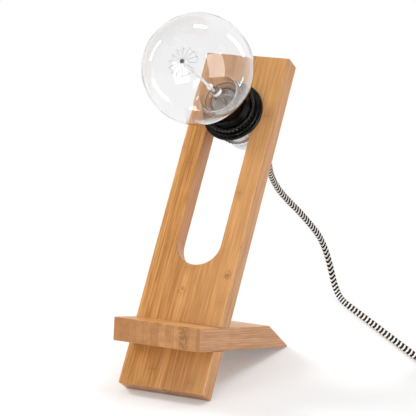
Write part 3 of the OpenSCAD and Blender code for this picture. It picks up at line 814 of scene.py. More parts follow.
FOOT_T = 20
OPENING = LEAN - FOOT_SLOPE
crossing_y = -(UPRIGHT_T + math.cos(LEAN) * (FOOT_Y - SEAT_Y)
               - FOOT_T * math.sin(OPENING)) / math.cos(OPENING)
bamboo_upright = bamboo("bamboo of the upright", (0, SEAT_Y * MM, 0), LEAN_TURN, strip_mm=9.0,
                        seed=3.0, pith_at=4.0, knots=((-4, 86), (34, 106)))
bamboo_foot = bamboo("bamboo of the foot", (0, FOOT_Y * MM, 0), -FOOT_SLOPE, strip_mm=7.0,
                     seed=11.0, pith_at=24.5, grain_lines=2.1, crossing=crossing_y)
print("the upright's front meets the foot's top at", round(crossing_y, 1), "mm")

# %% [markdown]
# The upright has a long slot with round ends, and both boards lose half their width where
# they cross, so that they slide into each other from the sides.

# %% Saw both boards
BOARD_W, UPRIGHT_L = 80, 310
SLOT_R, SLOT_LOW, SLOT_HIGH = 20.5, 132, 255
FOOT_L, FOOT_NOSE, FOOT_BEVEL, FOOT_TIP = 192, 2.8, 44, 2.2
NOTCH_PLAY, NOTCH_REACH = 0.1, 60
RIM_EASE, END_EASE, FOOT_EASE = 1.2, 0.6, 0.9
half = BOARD_W / 2
slot_loop = (arc((0, SLOT_LOW), SLOT_R, 180, 360, 30)
             + arc((0, SLOT_HIGH), SLOT_R, 0, 180, 30))


def on_slot(middle):
    """Whether a rim's middle lies on the slot's outline."""
    return abs(middle.x) < SLOT_R + 0.1 and SLOT_LOW - 25 < middle.y < SLOT_HIGH + 25


upright_work = plate([[(-half, -UPRIGHT_SEAT), (half, -UPRIGHT_SEAT), (half, UPRIGHT_L),
                       (-half, UPRIGHT_L)], slot_loop], 0, UPRIGHT_T)
ease(upright_work, RIM_EASE, lambda middle: abs(abs(middle.x) - half) < 0.1 or on_slot(middle))
ease(upright_work, END_EASE, lambda middle: middle.y > UPRIGHT_L - 0.1 or middle.y < 0)
foot_back = TIP_RUN - FOOT_L
foot_side = [(foot_back, 0), (foot_back - FOOT_NOSE, FOOT_T), (-FOOT_BEVEL, FOOT_T),
             (TIP_RUN, FOOT_TIP), (TIP_RUN, 0)]
foot_work = plate([foot_side], -half, half)
ease(foot_work, FOOT_EASE, lambda middle: middle.x < -3)
foot_turn = Matrix(((0, 0, 1, 0), (1, 0, 0, 0), (0, 1, 0, 0), (0, 0, 0, 1)))
table = ((-200, -200, -50), (200, 400, 0))
upright_mesh = sawn(upright_work, on_upright,
                    [block((0, -FOOT_L - 20, -NOTCH_PLAY),
                           (NOTCH_REACH, 0, FOOT_T + NOTCH_PLAY), on_foot),
                     block(*table, to_metres)])
foot_mesh = sawn(foot_work, on_foot @ foot_turn,
                 [block((-NOTCH_REACH, -100, -NOTCH_PLAY),
                        (0, 300, UPRIGHT_T + NOTCH_PLAY), on_upright),
                  block(*table, to_metres)])
settle("upright", upright_mesh, bamboo_upright, "stand", "bamboo", ["upright_board"])
settle("foot", foot_mesh, bamboo_foot, "stand", "bamboo", ["foot_board"])

# %% [markdown]
# ## The bulb
# The globe is one skin of glass, 0.8 mm thick, that sweeps into a straight neck. Clear glass
# only looks right with both its faces, so the outline runs up the outside and down the inside
# before it is turned. A smooth low relief stands for the slight waves of blown glass. Clear
# glass throws next to no shadow, and the renderer's shadow rays can't bend through it, so the
# glass is taken out of the shadows.

# %% Blow the globe
def clear_glass(name, waves_mm, bending=1.5, clarity=0.94, through=1.0):
    finish, tree, shader = new_finish(name, Base_Color=(clarity, clarity, clarity + 0.003, 1),
                                      Roughness=0.0, IOR=bending, Transmission_Weight=through)
    bump(tree, shader, cloudy(tree, here(tree), 28.0, 2.0), waves_mm)
    return finish


globe_glass = clear_glass("clear glass of the globe", 0.25)
stem_glass = clear_glass("clear glass of the stem", 0.4, 1.3, 0.97)
rod_glass = clear_glass("milky glass of the rod", 0.2, 1.14, 0.98, 0.5)

GLOBE_R, GLASS, NECK_R, SWEEP = 47.5, 0.8, 17, 12
CAP_RIM_H, NECK_L, SEAL_R = 22, 14.5, 12.75
SWEEP_H = CAP_RIM_H + NECK_L
GLOBE_H = SWEEP_H + math.sqrt((GLOBE_R + SWEEP) ** 2 - (NECK_R + SWEEP) ** 2)
STAR_H = GLOBE_H + 23.5
TURN = math.degrees(math.atan2(GLOBE_H - SWEEP_H, NECK_R + SWEEP))


def glass_outline(wall):
    """From the seal inside the cap up to the crown, a wall's thickness inside the outside."""
    return ([(SEAL_R - wall, CAP_RIM_H - 4), (SEAL_R - wall, CAP_RIM_H + 0.3)]
            + arc((NECK_R - 8, CAP_RIM_H + 8), 8 - wall, -35, 0, 8)
            + arc((NECK_R + SWEEP, SWEEP_H), SWEEP + wall, 180, 180 - TURN, 16)[1:]
            + arc((0, GLOBE_H), GLOBE_R - wall, -TURN + 1.5, 88.5, 60)
            + [(0, GLOBE_H + GLOBE_R - wall)])


globe = make_piece("globe", *turned(glass_outline(0) + glass_outline(GLASS)[::-1], 160),
                   on_axis, globe_glass, "bulb", "clear_glass", ["bulb_glass"])
globe.visible_shadow = False

# %% [markdown]
# Inside the neck a flare of glass tube rises to a pinch, where the leading-in wires pass. The
# glass was melted there, so it has two beads, and a thin glass rod carries on from it to the
# star. The rod leans a little in the picture, so the star's pieces are all set in a frame of
# their own that tips about a point in the neck.

# %% Stem and rod
TIP_H, TIP_ANGLE = CAP_RIM_H + 10, math.radians(4.3)
tip_over = (Matrix.Translation((0, 0, TIP_H))
            @ Matrix.Rotation(TIP_ANGLE, 4, Vector((1, -1, 0)).normalized())
            @ Matrix.Translation((0, 0, -TIP_H)))
on_rod = on_axis @ tip_over
stem_outside = [(11.85, 18), (11.85, 23), (10.9, 25), (9.6, 27.2), (8.3, 29.5), (7.1, 31.8),
                (6.1, 34), (5.3, 36.5), (4.7, 39), (4.2, 41.5), (4.2, 44), (4.0, 46),
                (3.3, 47.6), (2.3, 48.8), (1.6, 49.0), (0, 49.0)]
stem_inside = [(0, 39.8), (2.0, 39.9), (3.2, 39.0), (3.5, 37), (4.2, 34.2), (5.0, 32),
               (6.1, 29.7), (7.4, 27.2), (8.9, 24.6), (10.6, 23), (10.85, 21), (10.85, 18)]
stem = make_piece("stem", *turned(stem_outside + stem_inside, 96), on_axis, stem_glass,
                  "bulb", "clear_glass", ["bulb_stem"])
ROD_R = 1.2
rod_outline = ([(0, 46.5), (ROD_R, 46.5), (ROD_R, 52)] + arc((0.9, 55), 1.9, -60, 60, 8)
               + [(ROD_R, 58), (ROD_R, STAR_H - 4)] + arc((0.1, STAR_H - 3.2), 1.1, 0, 85, 5)
               + [(0, STAR_H - 2.1)])
star_rod = make_piece("star_rod", *turned(rod_outline, 48), on_rod, rod_glass, "bulb",
                      "clear_glass", ["bulb_stem"])
for glass in (stem, star_rod):
    glass.visible_shadow = False

# %% [markdown]
# The star is a small glass button with fourteen wires like the spokes of an umbrella. Each
# ends in a hook, and the tungsten filament zigzags over the hooks. Round wire is swept along
# its points as the cord was.

# %% Star and filament
def wire_parts(routes, radius, sides):
    """Corners and faces of several round wires in one piece."""
    corners, faces = [], []
    for points in routes:
        mesh = swept([Vector(p) for p in points], radius, sides, Matrix.Identity(4))
        first = len(corners)
        corners += [v.co.copy() for v in mesh.vertices]
        faces += [[first + i for i in polygon.vertices] for polygon in mesh.polygons]
        bpy.data.meshes.remove(mesh)
    return corners, faces


def metal(name, colour, roughness, scratch_mm=0.01, grain=900.0):
    """A metal with fine marks and a slightly uneven shine."""
    finish, tree, shader = new_finish(name, Metallic=1.0)
    where = here(tree)
    cloud = cloudy(tree, where, grain / 8, 3.0)
    marks = cloudy(tree, where, grain, 4.0)
    deep = tuple(c * 0.72 for c in colour[:3]) + (1,)
    feed(tree, shader, "Base Color", mix(tree, between(tree, cloud, 0.35, 0.65), deep, colour))
    feed(tree, shader, "Roughness",
         between(tree, marks, 0.3, 0.7, roughness * 0.8, roughness * 1.3))
    bump(tree, shader, marks, scratch_mm)
    return finish


dull_wire = metal("dull wire", tone(176, 174, 172), 0.45)
tungsten = metal("tungsten", tone(164, 162, 160), 0.4)
SPOKES, SPOKE_L, HOOK_R, SPOKE_R = 14, 13.5, 0.35, 0.15
spoke_routes = []
for i in range(SPOKES):
    a = 2 * math.pi * i / SPOKES
    out = Vector((math.cos(a), math.sin(a), 0))
    arm = [out * r + Vector((0, 0, STAR_H - 2 * r / SPOKE_L)) for r in (1.5, 5, 9, 12.4)]
    hook = [out * (SPOKE_L - 0.4 + HOOK_R * math.cos(t))
            + Vector((0, 0, STAR_H - 1.75 + HOOK_R * math.sin(t)))
            for t in (-1.6, -0.6, 0.5, 1.6)]
    spoke_routes.append(arm + hook)
make_piece("star_spokes", *wire_parts(spoke_routes, SPOKE_R, 8), on_rod, dull_wire,
           "bulb", "nickel", ["filament_supports"])
hub_outline = ([(0, STAR_H - 1.6)] + arc((0.8, STAR_H), 1.1, -75, 75, 10)
               + [(0, STAR_H + 1.1)])
make_piece("star_button", *turned(hub_outline, 40), on_rod,
           metal("dark button", tone(92, 90, 86), 0.35), "bulb", "nickel",
           ["filament_supports"])


def filament_point(i):
    """A corner of the zigzag: the even ones hang low between two hooks."""
    t = math.pi * (i + 1) / SPOKES
    r = SPOKE_L + (-2 if i % 2 == 0 else -0.35)
    return Vector((r * math.cos(t), r * math.sin(t), STAR_H - (5 if i % 2 == 0 else 2.0)))


filament_route = [filament_point(i) for i in range(2 * SPOKES - 2)]
FILAMENT_R = 0.12
make_piece("filament_wire", *wire_parts([filament_route], FILAMENT_R, 8), on_rod,
           tungsten, "bulb", "nickel", ["filament"])

# %% [markdown]
# Two leading-in wires come up through the stem, leave the pinch and run close beside the rod
# to the filament's two ends. So near the rod, the glass all but hides them.

# %% Leading-in wires
nickel = metal("nickel", tone(226, 224, 220), 0.35)
LEAD_R, TAIL_R = 0.3, 0.1
below = [[(2 * s, 0, h) for h in (1.6, 20, 39.6)] for s in (1, -1)]
make_piece("leads_in_stem", *wire_parts(below, LEAD_R, 8), on_axis, dull_wire, "bulb",
           "nickel", ["lead_wires"])
beside = ROD_R + 0.25
above = [[(2.4 * s, 0, 48.2), (beside * s, 0, 52), (2.1 * s, 0, 55), (beside * s, 0, 58),
          (beside * s, 0, STAR_H - 6), tuple(filament_point(i))]
         for s, i in ((1, 0), (-1, 2 * SPOKES - 3))]
make_piece("leads_by_rod", *wire_parts(above, TAIL_R, 8), on_rod, nickel, "bulb", "nickel",
           ["lead_wires"])

# %% [markdown]
# The screw cap is rolled brass, painted black as shade outside its upper part, and grey cement
# holds the glass in it.
# Its thread is one smooth wave that climbs 3.6 mm a turn, so the radius depends on both the
# height and the angle: the same wave that the solid has as rings becomes a true screw.

# %% Screw cap
brass = metal("brass", tone(206, 160, 84), 0.28)
CAP_R, CAP_WALL, CAP_WAVE = 13.2, 0.35, 1.1
THREAD_LOW, THREAD_HIGH, PITCH = 2.6, 16.6, 3.629
PAINTED_SHADE_FROM, CEMENT_H, CEMENT_T = 10.0, 17.8, 0.7


def cap_thread(r, h, angle):
    wave = ripple(h / PITCH - angle / (2 * math.pi))
    return r - CAP_WAVE * fading(h, THREAD_LOW, THREAD_HIGH, 1.5) * wave, h


def cap_outline(r):
    steps = 64
    return ([(r - 1.6, 0.5), (r - 0.6, 1.0), (r, 1.9)]
            + [(r, 2.2 + (17 - 2.2) * i / steps) for i in range(steps + 1)]
            + [(r, 19), (r, CAP_RIM_H)])


def cap_finish():
    """Brass, painted black as shade outside its upper half, and grey cement inside."""
    finish, tree, shader = new_finish("screw cap")
    radius, height = round_axis(tree)
    skin = between(tree, height, CEMENT_H - 0.6, CEMENT_H - 0.4, 11.5, 12.98)
    # Painted shade: above a set height the cap's outside is painted black, for the deep shade in
    # the holder's mouth.
    painted_cap_shade = times(tree, calc(tree, "GREATER_THAN", radius, skin),
                  between(tree, height, PAINTED_SHADE_FROM, PAINTED_SHADE_FROM + 0.2))
    cement = times(tree, between(tree, radius, 12.4, 12.6, 1.0, 0.0),
                   between(tree, height, CEMENT_H - 0.3, CEMENT_H - 0.2))
    cloud = cloudy(tree, here(tree), 260.0, 4.0)
    metal_tone = mix(tree, between(tree, cloud, 0.35, 0.65), tone(176, 128, 62),
                     tone(222, 176, 98))
    grit = mix(tree, cloud, tone(112, 98, 84), tone(150, 138, 124))
    colour = mix(tree, painted_cap_shade, metal_tone, tone(8, 8, 8))
    feed(tree, shader, "Base Color", mix(tree, cement, colour, grit))
    bare = calc(tree, "SUBTRACT", 1.0, calc(tree, "MAXIMUM", painted_cap_shade, cement))
    feed(tree, shader, "Metallic", bare)
    feed(tree, shader, "Roughness", between(tree, bare, 0, 1, 0.6, 0.28))
    bump(tree, shader, cloud, 0.02)
    return finish


inside_r, under = CAP_R - CAP_WALL, CEMENT_H - CEMENT_T
lining = [(r, h) for r, h in cap_outline(inside_r) if h < under]
filled = [(inside_r, CEMENT_H), (0.0, CEMENT_H), (0.0, under), (inside_r, under)]
make_piece("screw_cap", *turned(cap_outline(CAP_R) + filled + lining[::-1], 96, cap_thread),
           on_axis, cap_finish(), "bulb", "brass", ["bulb_cap"])

# %% [markdown]
# ## The lampholder
# The holder is a threaded sleeve that hangs in the upright's slot and is clamped by a ring on
# either side. The sleeve's thread is a groove that climbs 2 mm a turn. Turning the outline
# with a radius that runs round with the angle makes a true screw, where plain rings would
# only look like one from far off. It is plated behind the front ring, black at its mouth and
# lined with brass, so its finish changes at one height along the bulb's axis and at one
# distance from it.

# %% Plastics
def moulded(name, colour, roughness, speck_mm=0.008, speck=700.0, gloss=0.5):
    """A moulded plastic: an even tone with a soft cloud in it and a slightly uneven skin."""
    finish, tree, shader = new_finish(name, Specular_IOR_Level=gloss)
    where = here(tree)
    cloud = cloudy(tree, where, 60.0, 3.0)
    skin = cloudy(tree, where, speck, 3.0)
    lifted = tuple(min(1.0, c * 1.35 + 0.001) for c in colour[:3]) + (1,)
    feed(tree, shader, "Base Color",
         mix(tree, between(tree, cloud, 0.35, 0.65), colour, lifted))
    feed(tree, shader, "Roughness",
         between(tree, skin, 0.35, 0.65, roughness * 0.8, roughness * 1.25))
    bump(tree, shader, skin, speck_mm)
    return finish


black_gloss = moulded("polished black plastic", tone(3, 3, 3), 0.12, 0.06, 260.0, 0.3)
black_satin = moulded("satin black plastic", tone(24, 23, 23), 0.30)
white_ceramic = moulded("glazed ceramic", tone(232, 229, 220), 0.18)
silver_plate = metal("silver plate", tone(226, 226, 228), 0.16)
print("plastics ready")

# %% Sleeve with its thread
SLEEVE_R, BORE_R, MOUTH_H, SLEEVE_END = 20.0, 17.0, 21.0, -28.0
GROOVE, SLEEVE_PITCH, PLATED_TO, LIP_R, SHOULDER_H = 0.6, 2.0, 0.3, 18.7, 13.2


def sleeve_thread(r, h, angle):
    """Cuts the groove in the outside only, and lets it run out before both ends."""
    if r < SLEEVE_R - 0.9:
        return r, h
    cut = fading(h, SLEEVE_END + 0.6, MOUTH_H - 1.6, 1.0)
    turn = (h / SLEEVE_PITCH - angle / (2 * math.pi)) % 1.0
    flat = clamp((abs(turn - 0.5) - 0.12) / 0.2)
    return r - GROOVE * cut * (1 - flat), h


def two_coats():
    finish, tree, shader = new_finish("plated sleeve with a black mouth",
                                      Specular_IOR_Level=0.1)
    radius, height = round_axis(tree)
    black = between(tree, height, PLATED_TO, PLATED_TO + 0.2)
    lined = times(tree, between(tree, radius, LIP_R - 0.05, LIP_R, 1.0, 0.0),
                  between(tree, height, SHOULDER_H + 0.2, SHOULDER_H + 0.4))
    marks = cloudy(tree, here(tree), 500.0, 4.0)
    plate_tone = mix(tree, between(tree, marks, 0.3, 0.7), tone(200, 200, 203),
                     tone(236, 236, 238))
    outer = mix(tree, black, plate_tone, tone(4, 4, 4))
    feed(tree, shader, "Base Color", mix(tree, lined, outer, tone(255, 168, 44)))
    feed(tree, shader, "Metallic",
         calc(tree, "MAXIMUM", times(tree, lined, 0.2),
              calc(tree, "SUBTRACT", 1.0, black)))
    feed(tree, shader, "Roughness", between(tree, marks, 0.3, 0.7, 0.14, 0.24))
    bump(tree, shader, marks, 0.01)
    return finish


outside = [(SLEEVE_R - 0.4, SLEEVE_END), (SLEEVE_R, SLEEVE_END + 0.4)]
outside += [(SLEEVE_R, SLEEVE_END + 0.6 + 0.25 * i) for i in range(190)]
outside += [(SLEEVE_R, MOUTH_H - 0.8)] + arc((SLEEVE_R - 0.8, MOUTH_H - 0.8), 0.8, 15, 90, 5)
SHOULDER_R, SHOULDER_T, STOP_R = 16.2, 1.5, 15.2
inside = [(LIP_R + 0.2, MOUTH_H), (LIP_R, MOUTH_H - 0.3), (LIP_R - 0.1, MOUTH_H - 1.0),
          (SHOULDER_R + 0.1, SHOULDER_H + 0.3), (SHOULDER_R, SHOULDER_H),
          (SHOULDER_R, SHOULDER_H - SHOULDER_T), (BORE_R, SHOULDER_H - SHOULDER_T),
          (BORE_R, -3), (STOP_R, -3), (STOP_R, -6), (BORE_R, -6), (BORE_R, SLEEVE_END)]
make_piece("sleeve", *turned(outside + inside, 72, sleeve_thread), on_axis,
           two_coats(), "holder", "black_plastic", ["holder_sleeve"])

# %% [markdown]
# The front ring is polished black: a flange that presses on the board and a collar with
# forty flutes for the fingers. Each flute is a scoop in the collar's wall. The scoop's shape
# is worked out from the angle, so its edges stay crisp where the photograph shows small dots
# of light. The rear ring has the same grip but is flat and plated.

# %% Rings
FLUTES, FLUTE_R, FLUTE_OUT, RIB_DEPTH = 40, 0.9, 0.35, 0.35
RING_STEPS = 12 * FLUTES
RING_HOLE, COLLAR_R, RING_R = 20.3, 23.5, 27.5
RING_LOW, RING_H, FLANGE_T = 0.3, 12.0, 2.5


def scooped(collar_r, low, high, soft, ribbed=False):
    """Moves a collar's wall in where a flute's circle cuts it, and ribs the flange's face."""
    pitch = 2 * math.pi / FLUTES

    def shape(r, h, angle):
        if ribbed and collar_r + 0.7 < r < RING_R - 1.4 and h > RING_LOW + 1:
            return r, h - RIB_DEPTH * ripple(FLUTES * angle / (2 * math.pi))
        turn = (angle + pitch / 2) % pitch - pitch / 2
        side = collar_r * math.sin(turn)
        if not collar_r - 1.2 <= r <= collar_r + 0.05 or abs(side) >= FLUTE_R:
            return r, h
        wall = collar_r + FLUTE_OUT - math.sqrt(FLUTE_R ** 2 - side ** 2)
        return r - max(0.0, collar_r - wall) * fading(h, low, high, soft), h
    return shape


collar_top = RING_LOW + RING_H
ring_outline = ([(RING_HOLE, RING_LOW), (RING_R - 0.6, RING_LOW)]
                + arc((RING_R - 0.6, RING_LOW + 0.6), 0.6, -80, 0, 5)
                + arc((RING_R - 1.3, RING_LOW + FLANGE_T - 1.3), 1.3, 5, 88, 8)
                + [(r, RING_LOW + FLANGE_T) for r in (RING_R - 1.5, 25.5, 25.0, 24.5)]
                + arc((COLLAR_R + 0.6, RING_LOW + FLANGE_T + 0.6), 0.6, 265, 185, 5)
                + [(COLLAR_R, RING_LOW + FLANGE_T + 0.9 + 0.6 * i) for i in range(13)]
                + arc((COLLAR_R - 1.2, collar_top - 1.2), 1.2, 5, 88, 8)
                + [(RING_HOLE + 0.3, collar_top), (RING_HOLE, collar_top - 0.3)])
front_grip = scooped(COLLAR_R, RING_LOW + FLANGE_T + 0.4, collar_top + 1.0, 0.8, ribbed=True)
make_piece("front_ring", *turned(ring_outline, RING_STEPS, front_grip), on_axis, black_gloss,
           "ring", "black_plastic", ["shade_ring"])

REAR_R, REAR_TOP, REAR_END = 22.5, -18.3, -20.8
rear_outline = ([(RING_HOLE, REAR_END), (REAR_R - 0.6, REAR_END)]
                + arc((REAR_R - 0.6, REAR_END + 0.6), 0.6, -80, 0, 5)
                + [(REAR_R, REAR_END + 1.2), (REAR_R, REAR_TOP - 0.6)]
                + arc((REAR_R - 0.4, REAR_TOP - 0.4), 0.4, 5, 85, 4)
                + [(RING_HOLE, REAR_TOP)])
rear_grip = scooped(REAR_R, REAR_END - 2, REAR_TOP + 2, 0.1)
make_piece("rear_ring", *turned(rear_outline, RING_STEPS, rear_grip), on_axis, silver_plate,
           "back_ring", "silver_plate", ["rear_ring"])

# %% [markdown]
# A plated dome closes the holder's back. Through its middle comes a brass nipple with a nut
# inside, and on the nipple sits the black cord grip, which tapers down to the cord so that
# it bends there gently. Its ribs let it give, like the relief on any mains lead.

# %% Dome
DOME_R, DOME_END, DOME_WALL, BOSS_R = 19.5, -50.0, 1.2, 8.0
DOME_FLAT, NIPPLE_R, BLOCK_R, BLOCK_IN = -35.0, 5.0, 16.9, 3.5


def dome_line(wall, steps=28):
    """The dome's curve from its rim down to its boss, a wall's thickness inside the outside."""
    run, rise = DOME_FLAT - DOME_END - wall, DOME_R - BOSS_R
    points = []
    for i in range(steps + 1):
        t = math.pi / 2 * i / steps
        points.append((BOSS_R - wall * math.cos(t) + rise * math.cos(t),
                       DOME_FLAT - run * math.sin(t)))
    return points


dome_outline = ([(BLOCK_R - DOME_WALL, SLEEVE_END + BLOCK_IN),
                 (BLOCK_R - DOME_WALL, SLEEVE_END - 1.5),
                 (DOME_R - DOME_WALL, SLEEVE_END - 3)] + dome_line(DOME_WALL)
                + [(NIPPLE_R + 0.1, DOME_END + DOME_WALL), (NIPPLE_R + 0.1, DOME_END)]
                + dome_line(0)[::-1]
                + arc((DOME_R - 0.5, SLEEVE_END - 0.5), 0.5, 0, 90, 4)
                + [(BLOCK_R, SLEEVE_END), (BLOCK_R, SLEEVE_END + BLOCK_IN)])
make_piece("dome", *turned(dome_outline, 120), on_axis, silver_plate, "holder",
           "silver_plate", ["dome_cover"])

# %% [markdown]
# The grip is soft plastic: a straight shoulder that fits over the nipple, and a taper. The taper
# is drawn in quarter millimetres, so that its ribs have enough points to be round.

# %% Cord grip
RIBS_FROM, RIBS_TO, RIB_PITCH = -60.0, -74.0, 2.0
TAPER_FROM, TAPER_R, TAPER_END_R = -59.0, 7.2, 3.9


def grip_rib(r, h, angle):
    """Shallow grooves round the tapered part of the grip."""
    if r < 3.6 or not RIBS_TO < h < RIBS_FROM:
        return r, h
    return r - RIB_DEPTH * ripple((h - RIBS_FROM) / RIB_PITCH), h


def taper(h):
    """The grip's radius along its taper, from its shoulder to its end."""
    share = (h - TAPER_FROM) / (GRIP_END - TAPER_FROM)
    return TAPER_R + (TAPER_END_R - TAPER_R) * share


grip_outline = ([(5.1, -50.1), (7.6, -50.1), (8.0, -50.6), (8.0, -57.6)]
                + arc((7.6, -57.9), 0.45, 0, -70, 4)
                + [(taper(h), h) for h in [TAPER_FROM - 0.25 * i for i in range(1, 66)]]
                + [(3.8, GRIP_END + 0.1), (3.5, GRIP_END), (3.1, GRIP_END), (3.1, -62.1),
                   (5.1, -62.1)])
make_piece("grip", *turned(grip_outline, 72, grip_rib), on_axis, black_satin,
           "holder", "black_plastic", ["cord_grip"])

# %% [markdown]
# A nut is a turned disc with chamfered rims that is squeezed into a hexagon. The corners keep
# the disc's radius and the flats are cut back, and that gives the curved chamfer of a real nut.

# %% Nut
NUT_R, NUT_LOW, NUT_HIGH = 7.4, -48.8, -46.3
flats = NUT_R * math.cos(math.pi / 6)


def hexagon(r, h, angle):
    """Squeezes a turned disc into a hexagon whose corners are chamfered."""
    if r < NIPPLE_R + 1:
        return r, h
    turn = (angle % (math.pi / 3)) - math.pi / 6
    return min(r, flats / math.cos(turn)), h


nut_outline = [(NIPPLE_R + 0.1, NUT_LOW), (flats, NUT_LOW), (NUT_R, NUT_LOW + 0.5),
               (NUT_R, NUT_HIGH - 0.5), (flats, NUT_HIGH), (NIPPLE_R + 0.1, NUT_HIGH)]
make_piece("nut", *turned(nut_outline, 96, hexagon), on_axis, brass, "holder", "brass",
           ["nipple_nut"], crease=28)

# %% [markdown]
# The rest of the holder's inside shows only through the bulb's neck or with the bulb out.
# These solids have the right shape already, so they keep it and get a finish of their own:
# glazed ceramic, aged brass for shell, contact, screws and nipple, dark textile, solder, black
# glass and brown wire insulation.

# %% Finishes for the holder's inside
def dress(finish, *nodes):
    """Gives CAD solids a finish; their meshes and places stay as they are."""
    for node in nodes:
        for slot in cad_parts[node].material_slots:
            slot.material = finish
    print(finish.name, "on", ", ".join(nodes))


wire_sleeving = moulded("brown wire insulation", tone(96, 52, 30), 0.35)
entry_textile = moulded("dark textile", tone(40, 34, 31), 0.9, 0.08, 1500.0)
pressed_brass = metal("aged brass", tone(150, 110, 54), 0.34)
solder = metal("solder", tone(176, 176, 172), 0.38, 0.03, 300.0)
black_vitrite = moulded("black glass insulator", tone(16, 14, 20), 0.08)
dress(white_ceramic, "terminal_block")
dress(pressed_brass, "screw_shell", "centre_contact", "terminal_screws", "cable_nipple")
dress(wire_sleeving, "holder_wires")
dress(entry_textile, "cord_entry")
dress(solder, "bulb_tip")
dress(black_vitrite, "cap_insulator")

# %% [markdown]
# ## The switch on the cord
# An in-line switch is two moulded shells with the parting line half way up, held by two
# screws from below, and a rocker on a steel pin. The shells are drawn as flat plates with a
# round-cornered outline, their outer edges are eased, and the hollow, the rocker's window and
# the screw holes are cut out, just as the boards' notches were.

# %% Switch shells
SWITCH_W, SWITCH_H, SPLIT_Z, SPLIT_GAP = 24, 17, 8, 0.05
SCREW_X, SCREW_Y, SCREW_HOLE_R, THREAD_R, HEAD_R = 21, 7.8, 1.25, 1.1, 2.4
ROCKER_L, ROCKER_W, WINDOW_PLAY = 20, 10, 0.4
on_switch = (to_metres @ Matrix.Translation(SWITCH_AT)
             @ Matrix.Rotation(math.radians(-45), 4, "Z"))


def rounded_box(length, width, radius, steps=8):
    """The outline of a rectangle with round corners."""
    x, y = length / 2 - radius, width / 2 - radius
    return (arc((x, y), radius, 0, 90, steps) + arc((-x, y), radius, 90, 180, steps)
            + arc((-x, -y), radius, 180, 270, steps) + arc((x, -y), radius, 270, 360, steps))


def drill(x, y, radius, low, high, place):
    """A round cutter."""
    corners, faces = turned([(0, low), (radius, low), (radius, high), (0, high)], 32)
    moved = [Vector(c) + Vector((x, y, 0)) for c in corners]
    return linked("drill", built("drill", moved, faces, place))


switch_outline = rounded_box(SWITCH_L, SWITCH_W, 7)
screw_places = [(SCREW_X, SCREW_Y), (-SCREW_X, -SCREW_Y)]
base_work = plate([switch_outline], 0, SPLIT_Z - SPLIT_GAP)
ease(base_work, 0.7, lambda middle: middle.z > 1, 3)
ease(base_work, 1.4, lambda middle: middle.z < 0.1, 4)
base_mesh = sawn(base_work, on_switch,
                 [block((-19, -10, 2), (19, 10, 9), on_switch)]
                 + [drill(x, y, radius, -1, top, on_switch)
                    for radius, top in ((SCREW_HOLE_R, 9), (HEAD_R, 1.6))
                    for x, y in screw_places])
settle("switch_bottom", base_mesh, black_satin, "stand", "black_plastic", ["switch_base"])
cover_work = plate([switch_outline], SPLIT_Z + SPLIT_GAP, SWITCH_H)
ease(cover_work, 0.5, lambda middle: middle.z < 9, 3)
ease(cover_work, 2.4, lambda middle: middle.z > SWITCH_H - 0.1, 6)
window_x, window_y = ROCKER_L / 2 + WINDOW_PLAY, ROCKER_W / 2 + WINDOW_PLAY
cover_mesh = sawn(cover_work, on_switch,
                  [block((-window_x, -window_y, 0), (window_x, window_y, 30), on_switch)]
                  + [drill(x, y, THREAD_R, 5, 13, on_switch) for x, y in screw_places])
settle("switch_top", cover_mesh, black_satin, "stand", "black_plastic", ["switch_cover"])

# %% [markdown]
# The rocker is a hollow-topped wedge: one end stands up and the other is flush, and pressing
# the high end turns it on its pin. Its side view is an outline, extruded over its width with
# the edges eased.

# %% Rocker
PIN_Z, PIN_HOLE_R, ROCKER_TILT = 12.8, 1.05, -7
on_rocker = (on_switch @ Matrix.Translation((0, 0, PIN_Z))
             @ Matrix.Rotation(math.radians(ROCKER_TILT), 4, "Y")
             @ Matrix.Rotation(math.radians(90), 4, "X"))
rocker_side = ([(-ROCKER_L / 2 + 0.4, 4.4), (-ROCKER_L / 2 + 0.8, 0.4), (-3, -3.4), (3, -3.4),
                (ROCKER_L / 2 - 0.8, 0.4), (ROCKER_L / 2 - 0.4, 4.4)]
               + arc((0, 28), 25.4, -68.5, -111.5, 14))
pin_hole = arc((0, 0), PIN_HOLE_R, 0, 345, 23)
rocker_work = plate([rocker_side, pin_hole], -ROCKER_W / 2, ROCKER_W / 2)
ease(rocker_work, 0.45, lambda middle: middle.y > 0.5 and middle.length > 2.5, 3)
settle("rocker", sawn(rocker_work, on_rocker, []), black_gloss, "rocker", "black_plastic",
       ["switch_rocker"])

# %% [markdown]
# ## The plug
# The plug is one piece moulded over the cord: a ribbed sleeve that tapers down to the cord,
# and a flat body with a waist for the fingers. Its cross-section changes along its length
# from a circle to a rounded bar, so it is lofted: the same number of points in every section,
# joined by quads.

# %% Plug body
on_plug = (to_metres @ Matrix.Translation(plug_at)
           @ Matrix.Rotation(math.radians(135), 4, "Z") @ Matrix.Rotation(math.pi / 2, 4, "Y"))
PLUG_SLEEVE, PLUG_L, PLUG_W, PLUG_NECK_W, CORNER_R = 22.0, 33.0, 35.4, 16.0, 4
SLEEVE_TIP_R, SLEEVE_FLARE, PLUG_RIB = 3.8, 1.4, 0.4
SLEEVE_W = 2 * (SLEEVE_TIP_R + SLEEVE_FLARE)


def section(wide, thick, radius, x):
    """A rounded rectangle at a distance along the plug; the plug's width lies along Y."""
    radius = min(radius, wide / 2 - 0.01, thick / 2 - 0.01)
    return [(-q, p, x) for p, q in rounded_box(wide, thick, radius)]


